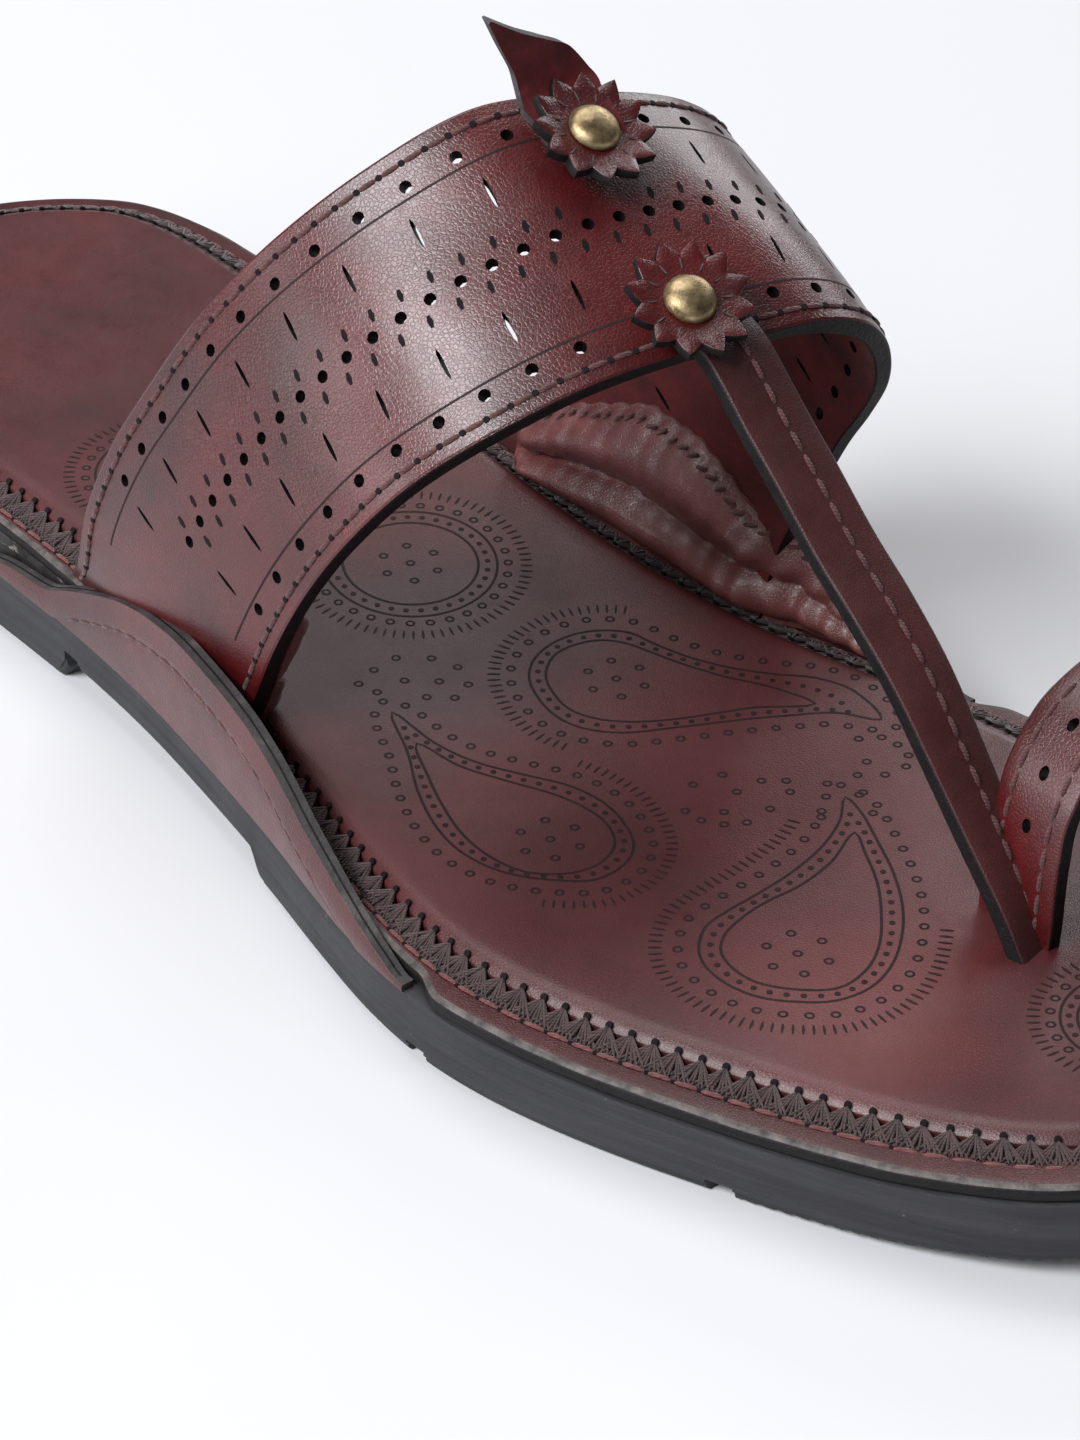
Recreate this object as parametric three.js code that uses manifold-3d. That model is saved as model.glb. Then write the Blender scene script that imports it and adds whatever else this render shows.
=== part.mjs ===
// Kolhapuri sandal, right shoe, standing empty on its sole.
// Millimetres, +Z up, toe towards -Y, heel towards +Y, big-toe side towards +X.
import * as THREE from 'three';
import Module from 'manifold-3d';

const wasm = await Module();
wasm.setup();

// Sizes of the sole
const soleLength = 285;
const ballWidth = 100.2;
const foreRimTop = 11.8;
const heelRimTop = 17.2;
const toeSpring = 4.5;
const boardThickness = 2.1;
const padRise = 2.6;
const padInset = 7.1;
const wallHeight = 9.4;
const wallUndercut = 1.1;
const treadEdge = 1.6;
const archLift = 3.5;
const grooveWidth = 3.4;
const grooveDepth = 2.2;
const grooveReach = 9;
const coreInset = 0.9;
const wallStep = 0.6;
const boardRound = 0.35;
const padRound = 3.5;

// Sizes of the upper
const bandThickness = 2.8;
const bandTop = 74.6;
const bandWidth = 42.2;
const flapThickness = 1.8;
const flapHeight = 15.2;
const flapLean = 0.7;
const flapEdge = 0.3;
const liningThickness = 3.6;
const liningHeight = 22;
const strapWidth = 9.6;
const strapThickness = 2.4;
const loopWidth = 12.4;
const loopThickness = 2.4;
const loopRise = 30.5;
const postAcross = 12;
const strapAside = 2.9;

// Sizes of the ornaments
const rosetteDiameter = 16.6;
const rosetteThickness = 1.7;
const rosetteTeeth = 12;
const toothDepth = 2;
const cupRise = 1.1;
const domeDiameter = 6.8;
const domeRise = 1.9;
const domeRim = 0.25;
const rosetteSeat = 0.25;
const shankDiameter = 2.4;
const capDiameter = 6.6;
const capThickness = 0.8;
const leafThickness = 1.6;
const leafLength = 22;
const leafWidth = 10.4;

// Clearances
const gap = 0.3;
const rivetGap = 0.5;

// Lengths of the cutting bodies
const drillLength = 24;
const roomDepth = 12;

const halfBall = ballWidth / 2;
const heelY = soleLength / 2;

// Outline of the rim in plan: station from the heel as a share of soleLength,
// and the outer (little toe) and inner (big toe) edges as shares of halfBall.
const outlineTable = [
  // station, outer, inner
  [0.000, -0.030, -0.030],
  [0.012, -0.330, 0.272],
  [0.030, -0.516, 0.457],
  [0.060, -0.655, 0.623],
  [0.100, -0.730, 0.700],
  [0.160, -0.761, 0.722],
  [0.230, -0.767, 0.709],
  [0.300, -0.761, 0.695],
  [0.360, -0.765, 0.691],
  [0.420, -0.789, 0.692],
  [0.480, -0.834, 0.706],
  [0.540, -0.889, 0.749],
  [0.590, -0.944, 0.813],
  [0.640, -0.989, 0.889],
  [0.680, -0.997, 0.943],
  [0.715, -0.971, 0.980],
  [0.750, -0.919, 1.000],
  [0.785, -0.849, 1.000],
  [0.820, -0.766, 0.990],
  [0.855, -0.680, 0.965],
  [0.890, -0.585, 0.925],
  [0.920, -0.484, 0.870],
  [0.945, -0.378, 0.800],
  [0.965, -0.249, 0.710],
  [0.982, -0.095, 0.590],
  [0.994, 0.060, 0.460],
  [1.000, 0.280, 0.280],
];

// Height profiles: station as a share of soleLength and the share reached
// between the forefoot height (0) and the heel height (1).
const riseTable = [
  [0.000, 1.00],
  [0.200, 1.00],
  [0.300, 0.93],
  [0.400, 0.70],
  [0.500, 0.32],
  [0.600, 0.05],
  [0.660, 0.00],
  [1.000, 0.00],
];

// Toe spring: station and share of toeSpring.
const springTable = [
  [0.000, 0.00],
  [0.820, 0.00],
  [0.880, 0.14],
  [0.940, 0.50],
  [1.000, 1.00],
];

// Underside between heel block and forefoot block: station and share of archLift.
const archTable = [
  [0.000, 0.0],
  [0.338, 0.0],
  [0.350, 1.0],
  [0.524, 1.0],
  [0.536, 0.0],
  [1.000, 0.0],
];

// Side flaps: station and share of flapHeight above the rubber wall.
const flapTable = [
  [0.275, 0.10],
  [0.300, 0.18],
  [0.330, 0.24],
  [0.352, 0.42],
  [0.376, 0.62],
  [0.404, 0.82],
  [0.432, 0.94],
  [0.462, 1.00],
  [0.492, 0.98],
  [0.520, 0.93],
  [0.545, 0.82],
  [0.575, 0.62],
  [0.600, 0.47],
  [0.625, 0.32],
  [0.650, 0.16],
  [0.668, 0.05],
];

// The band from its little-toe foot over the instep to its big-toe foot. Its front
// edge as shares: across of halfBall, along of soleLength from the heel, and up of
// the height from rim to bandTop. Its rear edge lies bandWidth away by the last
// three shares.
const bandTable = [
  // across, along, up, and to the rear edge: across, along, up
  [-0.769, 0.491, 0.000, 0.071, -1.011, 0.000],
  [-0.758, 0.503, 0.119, -0.005, -0.945, 0.045],
  [-0.746, 0.519, 0.289, -0.032, -0.962, 0.045],
  [-0.723, 0.540, 0.480, -0.025, -0.982, 0.057],
  [-0.670, 0.560, 0.640, -0.017, -1.002, 0.058],
  [-0.566, 0.582, 0.791, -0.040, -1.000, 0.124],
  [-0.399, 0.603, 0.906, -0.095, -0.960, 0.237],
  [-0.190, 0.618, 0.976, -0.117, -0.903, 0.361],
  [0.040, 0.629, 1.000, -0.094, -0.842, 0.488],
  [0.260, 0.637, 1.000, -0.070, -0.844, 0.469],
  [0.440, 0.644, 0.998, -0.036, -0.867, 0.410],
  [0.599, 0.645, 0.943, 0.000, -0.863, 0.393],
  [0.703, 0.639, 0.846, 0.043, -0.858, 0.391],
  [0.758, 0.630, 0.727, 0.071, -0.889, 0.320],
  [0.762, 0.619, 0.624, 0.090, -0.948, 0.166],
  [0.745, 0.608, 0.529, 0.085, -1.014, 0.000],
  [0.732, 0.592, 0.370, 0.024, -1.066, -0.071],
  [0.729, 0.574, 0.190, -0.062, -1.078, -0.047],
  [0.727, 0.564, 0.000, -0.095, -1.078, 0.000],
];

// Toe strap: from under the front rosette down to the slot by the big toe. Along and
// up as shares of the run from rosette to post, share of strapWidth, turn in degrees.
const strapTable = [
  // along, up, width, turn
  [-0.050, -0.040, 1.00, 0],
  [0.040, 0.028, 1.00, 0],
  [0.110, 0.062, 1.00, 0],
  [0.234, 0.179, 1.00, 0],
  [0.314, 0.252, 1.00, 0],
  [0.426, 0.359, 1.00, 0],
  [0.530, 0.444, 1.00, 0],
  [0.640, 0.537, 0.98, 2],
  [0.739, 0.668, 0.96, 6],
  [0.835, 0.798, 0.93, 12],
  [0.940, 0.890, 0.88, 22],
  [1.010, 1.030, 0.82, 32],
];

// Toe loop, from the slot over the big toe to the rim: across as a share of the
// run from postAcross to the rim's inner edge, up as a share of loopRise, and the
// shift of its middle along the shoe as a share of loopWidth.
const loopTable = [
  // across, up, shift, width
  [0.000, -0.040, 0.00, 1.00],
  [0.005, 0.200, 0.01, 1.00],
  [0.025, 0.420, 0.00, 0.98],
  [0.075, 0.640, -0.01, 0.98],
  [0.190, 0.840, -0.02, 1.00],
  [0.360, 0.965, -0.02, 1.00],
  [0.530, 1.000, -0.02, 1.00],
  [0.700, 0.950, -0.02, 1.00],
  [0.845, 0.800, -0.01, 1.00],
  [0.925, 0.580, 0.00, 1.00],
  [0.955, 0.320, 0.00, 1.00],
  [0.950, -0.130, 0.00, 1.00],
];
const postStation = 0.836;
const loopStation = 0.8155;
const loopMiddle = 0.820;

// Small helpers

const vec = (x, y, z) => new THREE.Vector3(x, y, z);
const clamp = (v, lo, hi) => Math.min(hi, Math.max(lo, v));
const stationY = (s) => heelY - s * soleLength;
const yStation = (y) => (heelY - y) / soleLength;

// Value of a table's column at a station, through its rows without overshoot.
function readTable(table, s, column = 1) {
  const last = table.length - 1;
  if (s <= table[0][0]) return table[0][column];
  if (s >= table[last][0]) return table[last][column];
  let i = 0;
  while (table[i + 1][0] < s) i += 1;
  const [s0, s1] = [table[i][0], table[i + 1][0]];
  const [v0, v1] = [table[i][column], table[i + 1][column]];
  const slope = (k) => {
    if (k <= 0 || k >= last) return 0;
    const before = (table[k][column] - table[k - 1][column]) / (table[k][0] - table[k - 1][0]);
    const after = (table[k + 1][column] - table[k][column]) / (table[k + 1][0] - table[k][0]);
    return before * after <= 0 ? 0 : (2 * before * after) / (before + after);
  };
  const h = s1 - s0;
  const t = (s - s0) / h;
  const a = t * t * (3 - 2 * t);
  return v0 + (v1 - v0) * a + h * (slope(i) * t * (1 - t) ** 2 - slope(i + 1) * t * t * (1 - t));
}

// Smooth curve through the rows of points, sampled evenly in its parameter.
function smoothPoints(points, count) {
  const curve = new THREE.CatmullRomCurve3(points, false, 'centripetal');
  return Array.from({ length: count + 1 }, (_, i) => curve.getPoint(i / count));
}

// Closed body between two grids of points with equal rows and columns.
function sheetBody(front, back) {
  const rows = front.length;
  const cols = front[0].length;
  const position = [];
  for (const grid of [front, back]) {
    for (const row of grid) {
      for (const p of row) position.push(p.x, p.y, p.z);
    }
  }
  const at = (g, i, j) => g * rows * cols + i * cols + j;
  const index = [];
  const quad = (a, b, c, d) => index.push(a, b, c, a, c, d);
  for (let i = 0; i < rows - 1; i += 1) {
    for (let j = 0; j < cols - 1; j += 1) {
      quad(at(0, i, j), at(0, i + 1, j), at(0, i + 1, j + 1), at(0, i, j + 1));
      quad(at(1, i, j), at(1, i, j + 1), at(1, i + 1, j + 1), at(1, i + 1, j));
    }
    quad(at(0, i, 0), at(1, i, 0), at(1, i + 1, 0), at(0, i + 1, 0));
    quad(at(0, i, cols - 1), at(0, i + 1, cols - 1), at(1, i + 1, cols - 1), at(1, i, cols - 1));
  }
  for (let j = 0; j < cols - 1; j += 1) {
    quad(at(0, 0, j), at(0, 0, j + 1), at(1, 0, j + 1), at(1, 0, j));
    quad(at(0, rows - 1, j), at(1, rows - 1, j), at(1, rows - 1, j + 1), at(0, rows - 1, j + 1));
  }
  return solidFrom(position, index);
}

// Manifold from points and triangles, turned so that its faces look outward.
function solidFrom(position, index) {
  let volume = 0;
  const p = (k) => vec(position[3 * k], position[3 * k + 1], position[3 * k + 2]);
  for (let i = 0; i < index.length; i += 3) {
    volume += p(index[i]).dot(p(index[i + 1]).cross(p(index[i + 2])));
  }
  const tri = volume >= 0 ? index : index.slice().reverse();
  const mesh = new wasm.Mesh({
    numProp: 3,
    vertProperties: new Float32Array(position),
    triVerts: new Uint32Array(tri),
  });
  mesh.merge();
  return new wasm.Manifold(mesh);
}

// Manifold from a three.js geometry.
function solidOf(geometry) {
  const g = geometry.index ? geometry.toNonIndexed() : geometry;
  const position = Array.from(g.attributes.position.array);
  const index = position.filter((_, i) => i % 3 === 0).map((_, i) => i);
  return solidFrom(position, index);
}

// Mesh with its name and leather, rubber or metal finish.
function meshOf(name, solid, color, roughness, metalness) {
  const m = solid.getMesh();
  const geometry = new THREE.BufferGeometry();
  const count = m.vertProperties.length / m.numProp;
  const position = new Float32Array(count * 3);
  for (let i = 0; i < count; i += 1) {
    for (let k = 0; k < 3; k += 1) position[3 * i + k] = m.vertProperties[i * m.numProp + k];
  }
  geometry.setAttribute('position', new THREE.BufferAttribute(position, 3));
  geometry.setIndex(new THREE.BufferAttribute(new Uint32Array(m.triVerts), 1));
  geometry.computeVertexNormals();
  const material = new THREE.MeshStandardMaterial({ color, roughness, metalness });
  const mesh = new THREE.Mesh(geometry, material);
  mesh.name = name;
  return mesh;
}

// Plan outline

function outlinePoints() {
  const side = (column) => outlineTable.map((row) => vec(row[column] * halfBall, stationY(row[0]), 0));
  const loop = [...side(1), ...side(2).reverse().slice(1, -1)];
  const curve = new THREE.CatmullRomCurve3(loop, true, 'centripetal');
  const points = curve.getPoints(520).slice(0, -1);
  const middle = new THREE.Box3().setFromPoints(points).getCenter(vec(0, 0, 0));
  return points.map((p) => p.sub(middle));
}
const rimLoop = outlinePoints();

// Outline moved inward by a distance that may change with side and station.
function insetLoop(distance) {
  const n = rimLoop.length;
  const area = rimLoop.reduce((sum, p, i) => {
    const q = rimLoop[(i + 1) % n];
    return sum + p.x * q.y - q.x * p.y;
  }, 0);
  const turn = area > 0 ? 1 : -1;
  return rimLoop.map((p, i) => {
    const a = rimLoop[(i + n - 2) % n];
    const b = rimLoop[(i + 2) % n];
    const d = b.clone().sub(a).normalize();
    const amount = typeof distance === 'function' ? distance(p) : distance;
    return vec(p.x - turn * d.y * amount, p.y + turn * d.x * amount, 0);
  });
}

// Where the line across the shoe at y meets a loop: [outer x, inner x].
function edgesAt(loop, y) {
  let lo = Infinity;
  let hi = -Infinity;
  for (let i = 0; i < loop.length; i += 1) {
    const a = loop[i];
    const b = loop[(i + 1) % loop.length];
    if ((a.y - y) * (b.y - y) <= 0 && a.y !== b.y) {
      const x = a.x + ((b.x - a.x) * (y - a.y)) / (b.y - a.y);
      lo = Math.min(lo, x);
      hi = Math.max(hi, x);
    }
  }
  return [lo, hi];
}

const rimTop = (y) => {
  const s = yStation(y);
  return foreRimTop + (heelRimTop - foreRimTop) * readTable(riseTable, s)
    + toeSpring * readTable(springTable, s);
};
const springAt = (y) => toeSpring * readTable(springTable, yStation(y));

// Stations along a loop, closer together at its round ends.
function stationsOf(loop, count, extra = []) {
  const ys = loop.map((p) => p.y);
  const top = Math.max(...ys) - 0.05;
  const low = Math.min(...ys) + 0.05;
  const list = Array.from({ length: count + 1 }, (_, i) => (
    (top + low) / 2 + ((top - low) / 2) * Math.cos((Math.PI * i) / count)
  ));
  for (const y of extra) {
    if (y < top - 1 && y > low + 1) list.push(y);
  }
  return list.sort((a, b) => b - a).filter((y, i, all) => i === 0 || all[i - 1] - y > 0.02);
}

// Body with a plan loop, and a top and a bottom that follow heights along the shoe.
// shape lists [share of the half width, drop from the top] from outer to inner edge.
function plate(loop, topAt, bottomAt, count, options = {}) {
  const { crown = [[0, 0], [1, 0]], undercut = 0, extra = [] } = options;
  const front = [];
  const back = [];
  for (const y of stationsOf(loop, count, extra)) {
    const [x0, x1] = edgesAt(loop, y);
    front.push(crown.map(([share, drop]) => vec(x0 + (x1 - x0) * share, y, topAt(y) - drop)));
    const cut = Math.min(undercut, (x1 - x0) * 0.3);
    back.push(crown.map(([share]) => (
      vec(x0 + cut + (x1 - x0 - 2 * cut) * share, y, bottomAt(y))
    )));
  }
  return sheetBody(front, back);
}

// Side flaps and what stands inside them

// Share of a flap that is there at this station, 0 to 1, with tapered ends.
const flapStart = flapTable[0][0];
const flapEnd = flapTable[flapTable.length - 1][0];
const flapShare = (s) => {
  const lead = 0.022;
  const up = clamp((s - flapStart + lead) / lead, 0, 1);
  const down = clamp((flapEnd + lead - s) / lead, 0, 1);
  const t = Math.min(up, down);
  return t * t * (3 - 2 * t);
};
const flapRoom = (p) => (flapThickness + gap) * flapShare(yStation(p.y));
const coreTop = (y) => rimTop(y) - boardThickness - gap;
const wallTop = (y) => {
  const s = yStation(y);
  const behind = clamp((flapStart - 0.01 - s) / 0.05, 0, 1);
  const heelLift = (heelRimTop - foreRimTop) * behind * behind * (3 - 2 * behind);
  const free = wallHeight + wallStep * flapShare(s) * (1 - behind) + heelLift * 0.94 + springAt(y);
  return Math.min(free, coreTop(y) - 0.05);
};

// Sole
function outsole() {
  const arch = (y) => archLift * readTable(archTable, yStation(y));
  const bottom = (y) => arch(y) + springAt(y);
  const marks = [...archTable, ...springTable, ...riseTable, ...flapTable].map((r) => stationY(r[0]));
  const foot = (y) => Math.min(bottom(y) + treadEdge, wallTop(y) - 2);
  const upper = plate(rimLoop, wallTop, foot, 34, { extra: marks });
  const lower = plate(insetLoop(wallUndercut * 0.4), (y) => foot(y) + 0.5, bottom, 34, {
    extra: marks, undercut: wallUndercut * 0.6,
  });
  const coreLoop = insetLoop((p) => coreInset + flapRoom(p));
  const core = plate(coreLoop, coreTop, (y) => wallTop(y) - 1.5, 34, { extra: marks });
  let sole = upper.add(lower).add(core);
  for (const s of [0.352, 0.676, 0.826]) {
    const y = stationY(s);
    const base = s < 0.4 ? archLift : 0;
    const [x0, x1] = edgesAt(rimLoop, y);
    for (const x of [x0, x1]) {
      const box = new THREE.BoxGeometry(2 * grooveReach, grooveWidth, 2 * grooveDepth);
      box.translate(x, y, base + springAt(y));
      sole = sole.subtract(solidOf(box));
    }
  }
  return sole;
}

// Leather-covered board whose edge is the rim round the footbed
function footbedBoard() {
  const loop = insetLoop((p) => 0.15 + flapRoom(p));
  const marks = [...springTable, ...riseTable, ...flapTable].map((r) => stationY(r[0]));
  return plate(loop, rimTop, (y) => rimTop(y) - boardThickness, 40, {
    extra: marks, crown: [[0, boardRound], [0.006, 0], [0.994, 0], [1, boardRound]],
  });
}

// Top of the cushioned footbed, lower at its round ends
const padTop = (y) => {
  const near = Math.min(heelY - padInset - y, y + heelY - padInset);
  return rimTop(y) + padRise * (0.55 + 0.45 * Math.sqrt(clamp(near / padRound, 0, 1)));
};

// Cushioned footbed on the board, with a pillowed edge and a slight dish
function footbedPad() {
  const loop = insetLoop(padInset);
  const crown = [
    // share of the width, drop as a share of padRise
    [0, 0.577], [0.015, 0.25], [0.06, 0.02], [0.25, 0.046], [0.5, 0.115],
    [0.75, 0.046], [0.94, 0.02], [0.985, 0.25], [1, 0.577],
  ].map(([share, drop]) => [share, drop * padRise]);
  const marks = [...springTable, ...riseTable].map((r) => stationY(r[0]));
  return plate(loop, padTop, (y) => rimTop(y) + gap, 34, { crown, extra: marks });
}

// Flap: a leather wing on the rubber wall, outside the board and the band's foot
function sideFlap(side) {
  const outer = rimLoop;
  const inner = insetLoop(flapThickness);
  const pick = side < 0 ? 0 : 1;
  const rows = [];
  const count = 32;
  for (let i = 0; i <= count; i += 1) {
    const s = flapStart + ((flapEnd - flapStart) * i) / count;
    const y = stationY(s);
    const z0 = wallTop(y) + gap;
    const z1 = Math.max(z0 + flapThickness / 2, z0 + flapHeight * readTable(flapTable, s));
    rows.push({ y, z0, z1, a: edgesAt(outer, y)[pick], b: edgesAt(inner, y)[pick] });
  }
  const levels = [0, 0.5, 0.92, 1];
  const lean = (f) => -side * flapLean * f * f;
  const grid = (key, round) => rows.map((r) => levels.map((f) => {
    const trim = f === 1 ? round * flapEdge : 0;
    return vec(r[key] + lean(f) * clamp((r.z1 - r.z0) / 10, 0, 1) - side * trim, r.y,
      r.z0 + (r.z1 - r.z0) * f);
  }));
  return sheetBody(grid('a', 1), grid('b', -1));
}

// Upper: instep band, toe strap and toe loop, joined where they cross

// The band's outer edges, as matched points of its front and rear edge.
function bandEdges(count) {
  const front = [];
  const rear = [];
  for (const [across, along, up, dx, dy, dz] of bandTable) {
    const y = stationY(along);
    const base = rimTop(y) + gap;
    const z = base + (bandTop - foreRimTop - gap) * up;
    const f = vec(across * halfBall, y, z);
    const r = vec(f.x + dx * bandWidth, f.y - dy * bandWidth, f.z + dz * bandWidth);
    if (up === 0) r.z = rimTop(r.y) + gap;
    front.push(f);
    rear.push(r);
  }
  return [smoothPoints(front, count), smoothPoints(rear, count)];
}

// Grids of the band's outer face and the same face moved in by a depth.
function bandGrids(count, across, outer, depth) {
  const [front, rear] = bandEdges(count);
  const point = (i, f) => {
    const k = clamp(i, 0, count);
    return front[k].clone().lerp(rear[k], f);
  };
  const normal = (i, f) => {
    const along = point(i + 1, f).sub(point(i - 1, f));
    const over = rear[i].clone().sub(front[i]);
    const n = over.cross(along).normalize();
    if (i === 0 || i === count) n.setZ(0).normalize();
    return n;
  };
  const side = normal(Math.round(count / 2), 0.5).z > 0 ? 1 : -1;
  const grid = (offset) => front.map((_, i) => across.map((f) => (
    point(i, f).addScaledVector(normal(i, f), side * offset)
  )));
  return { top: grid(outer), under: grid(-depth), point, normal, side };
}
const bandCount = 46;
const bandShape = bandGrids(bandCount, [0, 0.25, 0.5, 0.75, 1], 0, bandThickness);

// Point of the band's outer face nearest to a plan position, with its normal.
function bandPlace(x, y) {
  let best = null;
  for (let i = 1; i < bandCount; i += 1) {
    for (let j = 0; j <= 40; j += 1) {
      const p = bandShape.point(i, j / 40);
      const d = (p.x - x) ** 2 + (p.y - y) ** 2;
      if (p.z > bandTop * 0.6 && (!best || d < best.d)) best = { d, i, f: j / 40, p };
    }
  }
  const n = bandShape.normal(best.i, best.f).multiplyScalar(bandShape.side);
  return { point: best.p, normal: n };
}

// Ribbon of leather along a centre line, with its width direction and thickness.
function ribbon(centres, widths, thickness) {
  const n = centres.length;
  const top = [];
  const under = [];
  for (let i = 0; i < n; i += 1) {
    const t = centres[Math.min(i + 1, n - 1)].clone().sub(centres[Math.max(i - 1, 0)]).normalize();
    const w = widths[i].clone();
    const length = w.length();
    w.addScaledVector(t, -w.dot(t)).setLength(length);
    const normal = t.clone().cross(w).normalize();
    const row = [-0.5, -0.42, 0, 0.42, 0.5].map((f) => (
      centres[i].clone().addScaledVector(w, f).addScaledVector(normal, Math.abs(f) > 0.45 ? -0.3 : 0)
    ));
    top.push(row);
    under.push([-0.5, -0.42, 0, 0.42, 0.5].map((f) => (
      centres[i].clone().addScaledVector(w, f).addScaledVector(normal, -thickness)
    )));
  }
  return sheetBody(top, under);
}

const rosetteFront = bandPlace(0.1 * halfBall, stationY(0.618));
const rosetteRear = bandPlace(0.15 * halfBall, stationY(0.5415));

function toeStrap() {
  const post = vec(postAcross, stationY(postStation), 0);
  post.z = padTop(post.y);
  const start = rosetteFront.point.clone();
  start.x += strapAside;
  start.z += strapThickness * 1.05;
  const centres = [];
  const widths = [];
  const run = strapTable.map(([along, up]) => vec(
    start.x + (post.x - start.x) * along,
    start.y + (post.y - start.y) * along,
    start.z + (post.z - start.z) * up,
  ));
  const steps = 26;
  const line = smoothPoints(run, steps);
  const width = smoothPoints(strapTable.map((r) => vec(r[2], r[3], 0)), steps);
  for (let i = 0; i <= steps; i += 1) {
    const a = THREE.MathUtils.degToRad(width[i].y);
    centres.push(line[i]);
    widths.push(vec(Math.cos(a), Math.sin(a), 0).multiplyScalar(strapWidth * width[i].x));
  }
  return ribbon(centres, widths, strapThickness);
}

function toeLoop() {
  const y = stationY(loopMiddle);
  const rimX = edgesAt(rimLoop, y)[1];
  const low = padTop(y);
  const far = rimX - 0.4;
  const run = loopTable.map(([across, up, shift]) => vec(
    postAcross + (far - postAcross) * across,
    stationY(loopStation) - loopWidth * (0.5 + shift) + loopWidth * 0.5,
    low + loopRise * up,
  ));
  const line = smoothPoints(run, 28);
  const width = smoothPoints(loopTable.map((r) => vec(r[3], 0, 0)), 28);
  const widths = width.map((w) => vec(0, loopWidth * w.x, 0));
  return ribbon(line, widths, loopThickness);
}

// What the upper stands on, raised by the clearance, to trim its feet
function footRoom(loop, topAt) {
  const marks = [...springTable, ...riseTable].map((r) => stationY(r[0]));
  return plate(loop, (y) => topAt(y) + gap, (y) => rimTop(y) - roomDepth, 44, { extra: marks });
}

function onFootbed(body) {
  return body.subtract(footRoom(rimLoop, rimTop)).subtract(footRoom(insetLoop(padInset - gap), padTop));
}

function upper() {
  const band = sheetBody(bandShape.top, bandShape.under);
  let body = band.add(toeStrap()).add(toeLoop());
  body = onFootbed(body);
  for (const place of [rosetteFront, rosetteRear]) {
    const hole = new THREE.CylinderGeometry(
      shankDiameter / 2 + gap, shankDiameter / 2 + gap, drillLength, 16,
    );
    body = body.subtract(onPlace(solidOf(hole), place, 0));
  }
  return body;
}

// Lining pads inside the band's feet

function liningPad(side) {
  const inner = bandGrids(bandCount, [0, 0.25, 0.5, 0.75, 1], -bandThickness - gap,
    bandThickness + gap + liningThickness);
  const span = [];
  for (let i = 0; i <= bandCount; i += 1) {
    const k = side < 0 ? i : bandCount - i;
    const z = inner.top[k][2].z - inner.top[side < 0 ? 0 : bandCount][2].z;
    if (z > liningHeight) break;
    span.push(k);
  }
  const shrink = (row) => row.map((p, j) => {
    const f = [0.04, 0.27, 0.5, 0.73, 0.96][j];
    return row[0].clone().lerp(row[4], f).setZ(p.z);
  });
  return onFootbed(sheetBody(span.map((k) => shrink(inner.top[k])), span.map((k) => shrink(inner.under[k]))));
}

// Ornaments

// Moves a body built along +Y to stand on a place of the band.
function onPlace(solid, place, lift) {
  const turn = new THREE.Quaternion().setFromUnitVectors(vec(0, 1, 0), place.normal);
  const at = place.point.clone().addScaledVector(place.normal, lift);
  const m = new THREE.Matrix4().compose(at, turn, vec(1, 1, 1));
  return solid.transform(Array.from(m.elements));
}

// Pinked disc, cupped up towards its teeth, lying in the XZ plane
function rosetteBlank() {
  const radius = rosetteDiameter / 2;
  const steps = rosetteTeeth * 4;
  const rings = [0.18, 0.6, 1];
  const edge = (k) => radius - toothDepth * (1 - Math.abs((k % 4) - 2) / 2);
  const rise = (f) => cupRise * f ** 3;
  const grid = (y) => Array.from({ length: steps + 1 }, (_, k) => {
    const a = (2 * Math.PI * (k % steps)) / steps;
    return rings.map((f) => {
      const r = f === 1 ? edge(k % steps) : radius * f * 0.9;
      return vec(Math.cos(a) * r, rise(f) + y, Math.sin(a) * r);
    });
  });
  const ring = (y) => {
    const g = grid(y);
    g.pop();
    return g;
  };
  const top = ring(rosetteThickness);
  const low = ring(0);
  const position = [];
  const index = [];
  const n = rings.length;
  for (const g of [top, low]) {
    for (const row of g) {
      for (const p of row) position.push(p.x, p.y, p.z);
    }
  }
  const at = (g, i, j) => (g * steps + (i % steps)) * n + j;
  for (let i = 0; i < steps; i += 1) {
    for (let j = 0; j < n - 1; j += 1) {
      index.push(at(0, i, j), at(0, i, j + 1), at(0, i + 1, j + 1));
      index.push(at(0, i, j), at(0, i + 1, j + 1), at(0, i + 1, j));
      index.push(at(1, i, j), at(1, i + 1, j + 1), at(1, i, j + 1));
      index.push(at(1, i, j), at(1, i + 1, j), at(1, i + 1, j + 1));
    }
    index.push(at(0, i, n - 1), at(1, i, n - 1), at(1, i + 1, n - 1));
    index.push(at(0, i, n - 1), at(1, i + 1, n - 1), at(0, i + 1, n - 1));
    index.push(at(0, i, 0), at(1, i + 1, 0), at(1, i, 0));
    index.push(at(0, i, 0), at(0, i + 1, 0), at(1, i + 1, 0));
  }
  return solidFrom(position, index);
}

// Domed rivet: head, shank through the leather, and a flat cap inside
function rivet(headAt) {
  const r = domeDiameter / 2;
  const s = shankDiameter / 2;
  const deep = -bandThickness - rivetGap;
  const profile = [[0, deep - capThickness], [capDiameter / 2, deep - capThickness],
    [capDiameter / 2, deep], [s, deep], [s, headAt], [r, headAt], [r, headAt + domeRim]];
  for (let k = 1; k <= 4; k += 1) {
    const a = (Math.PI / 2) * (k / 4);
    profile.push([r * Math.cos(a), headAt + domeRim + (domeRise - domeRim) * Math.sin(a)]);
  }
  profile[profile.length - 1][0] = 0;
  const points = profile.map(([x, y]) => new THREE.Vector2(x, y));
  return solidOf(new THREE.LatheGeometry(points, 16));
}

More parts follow.
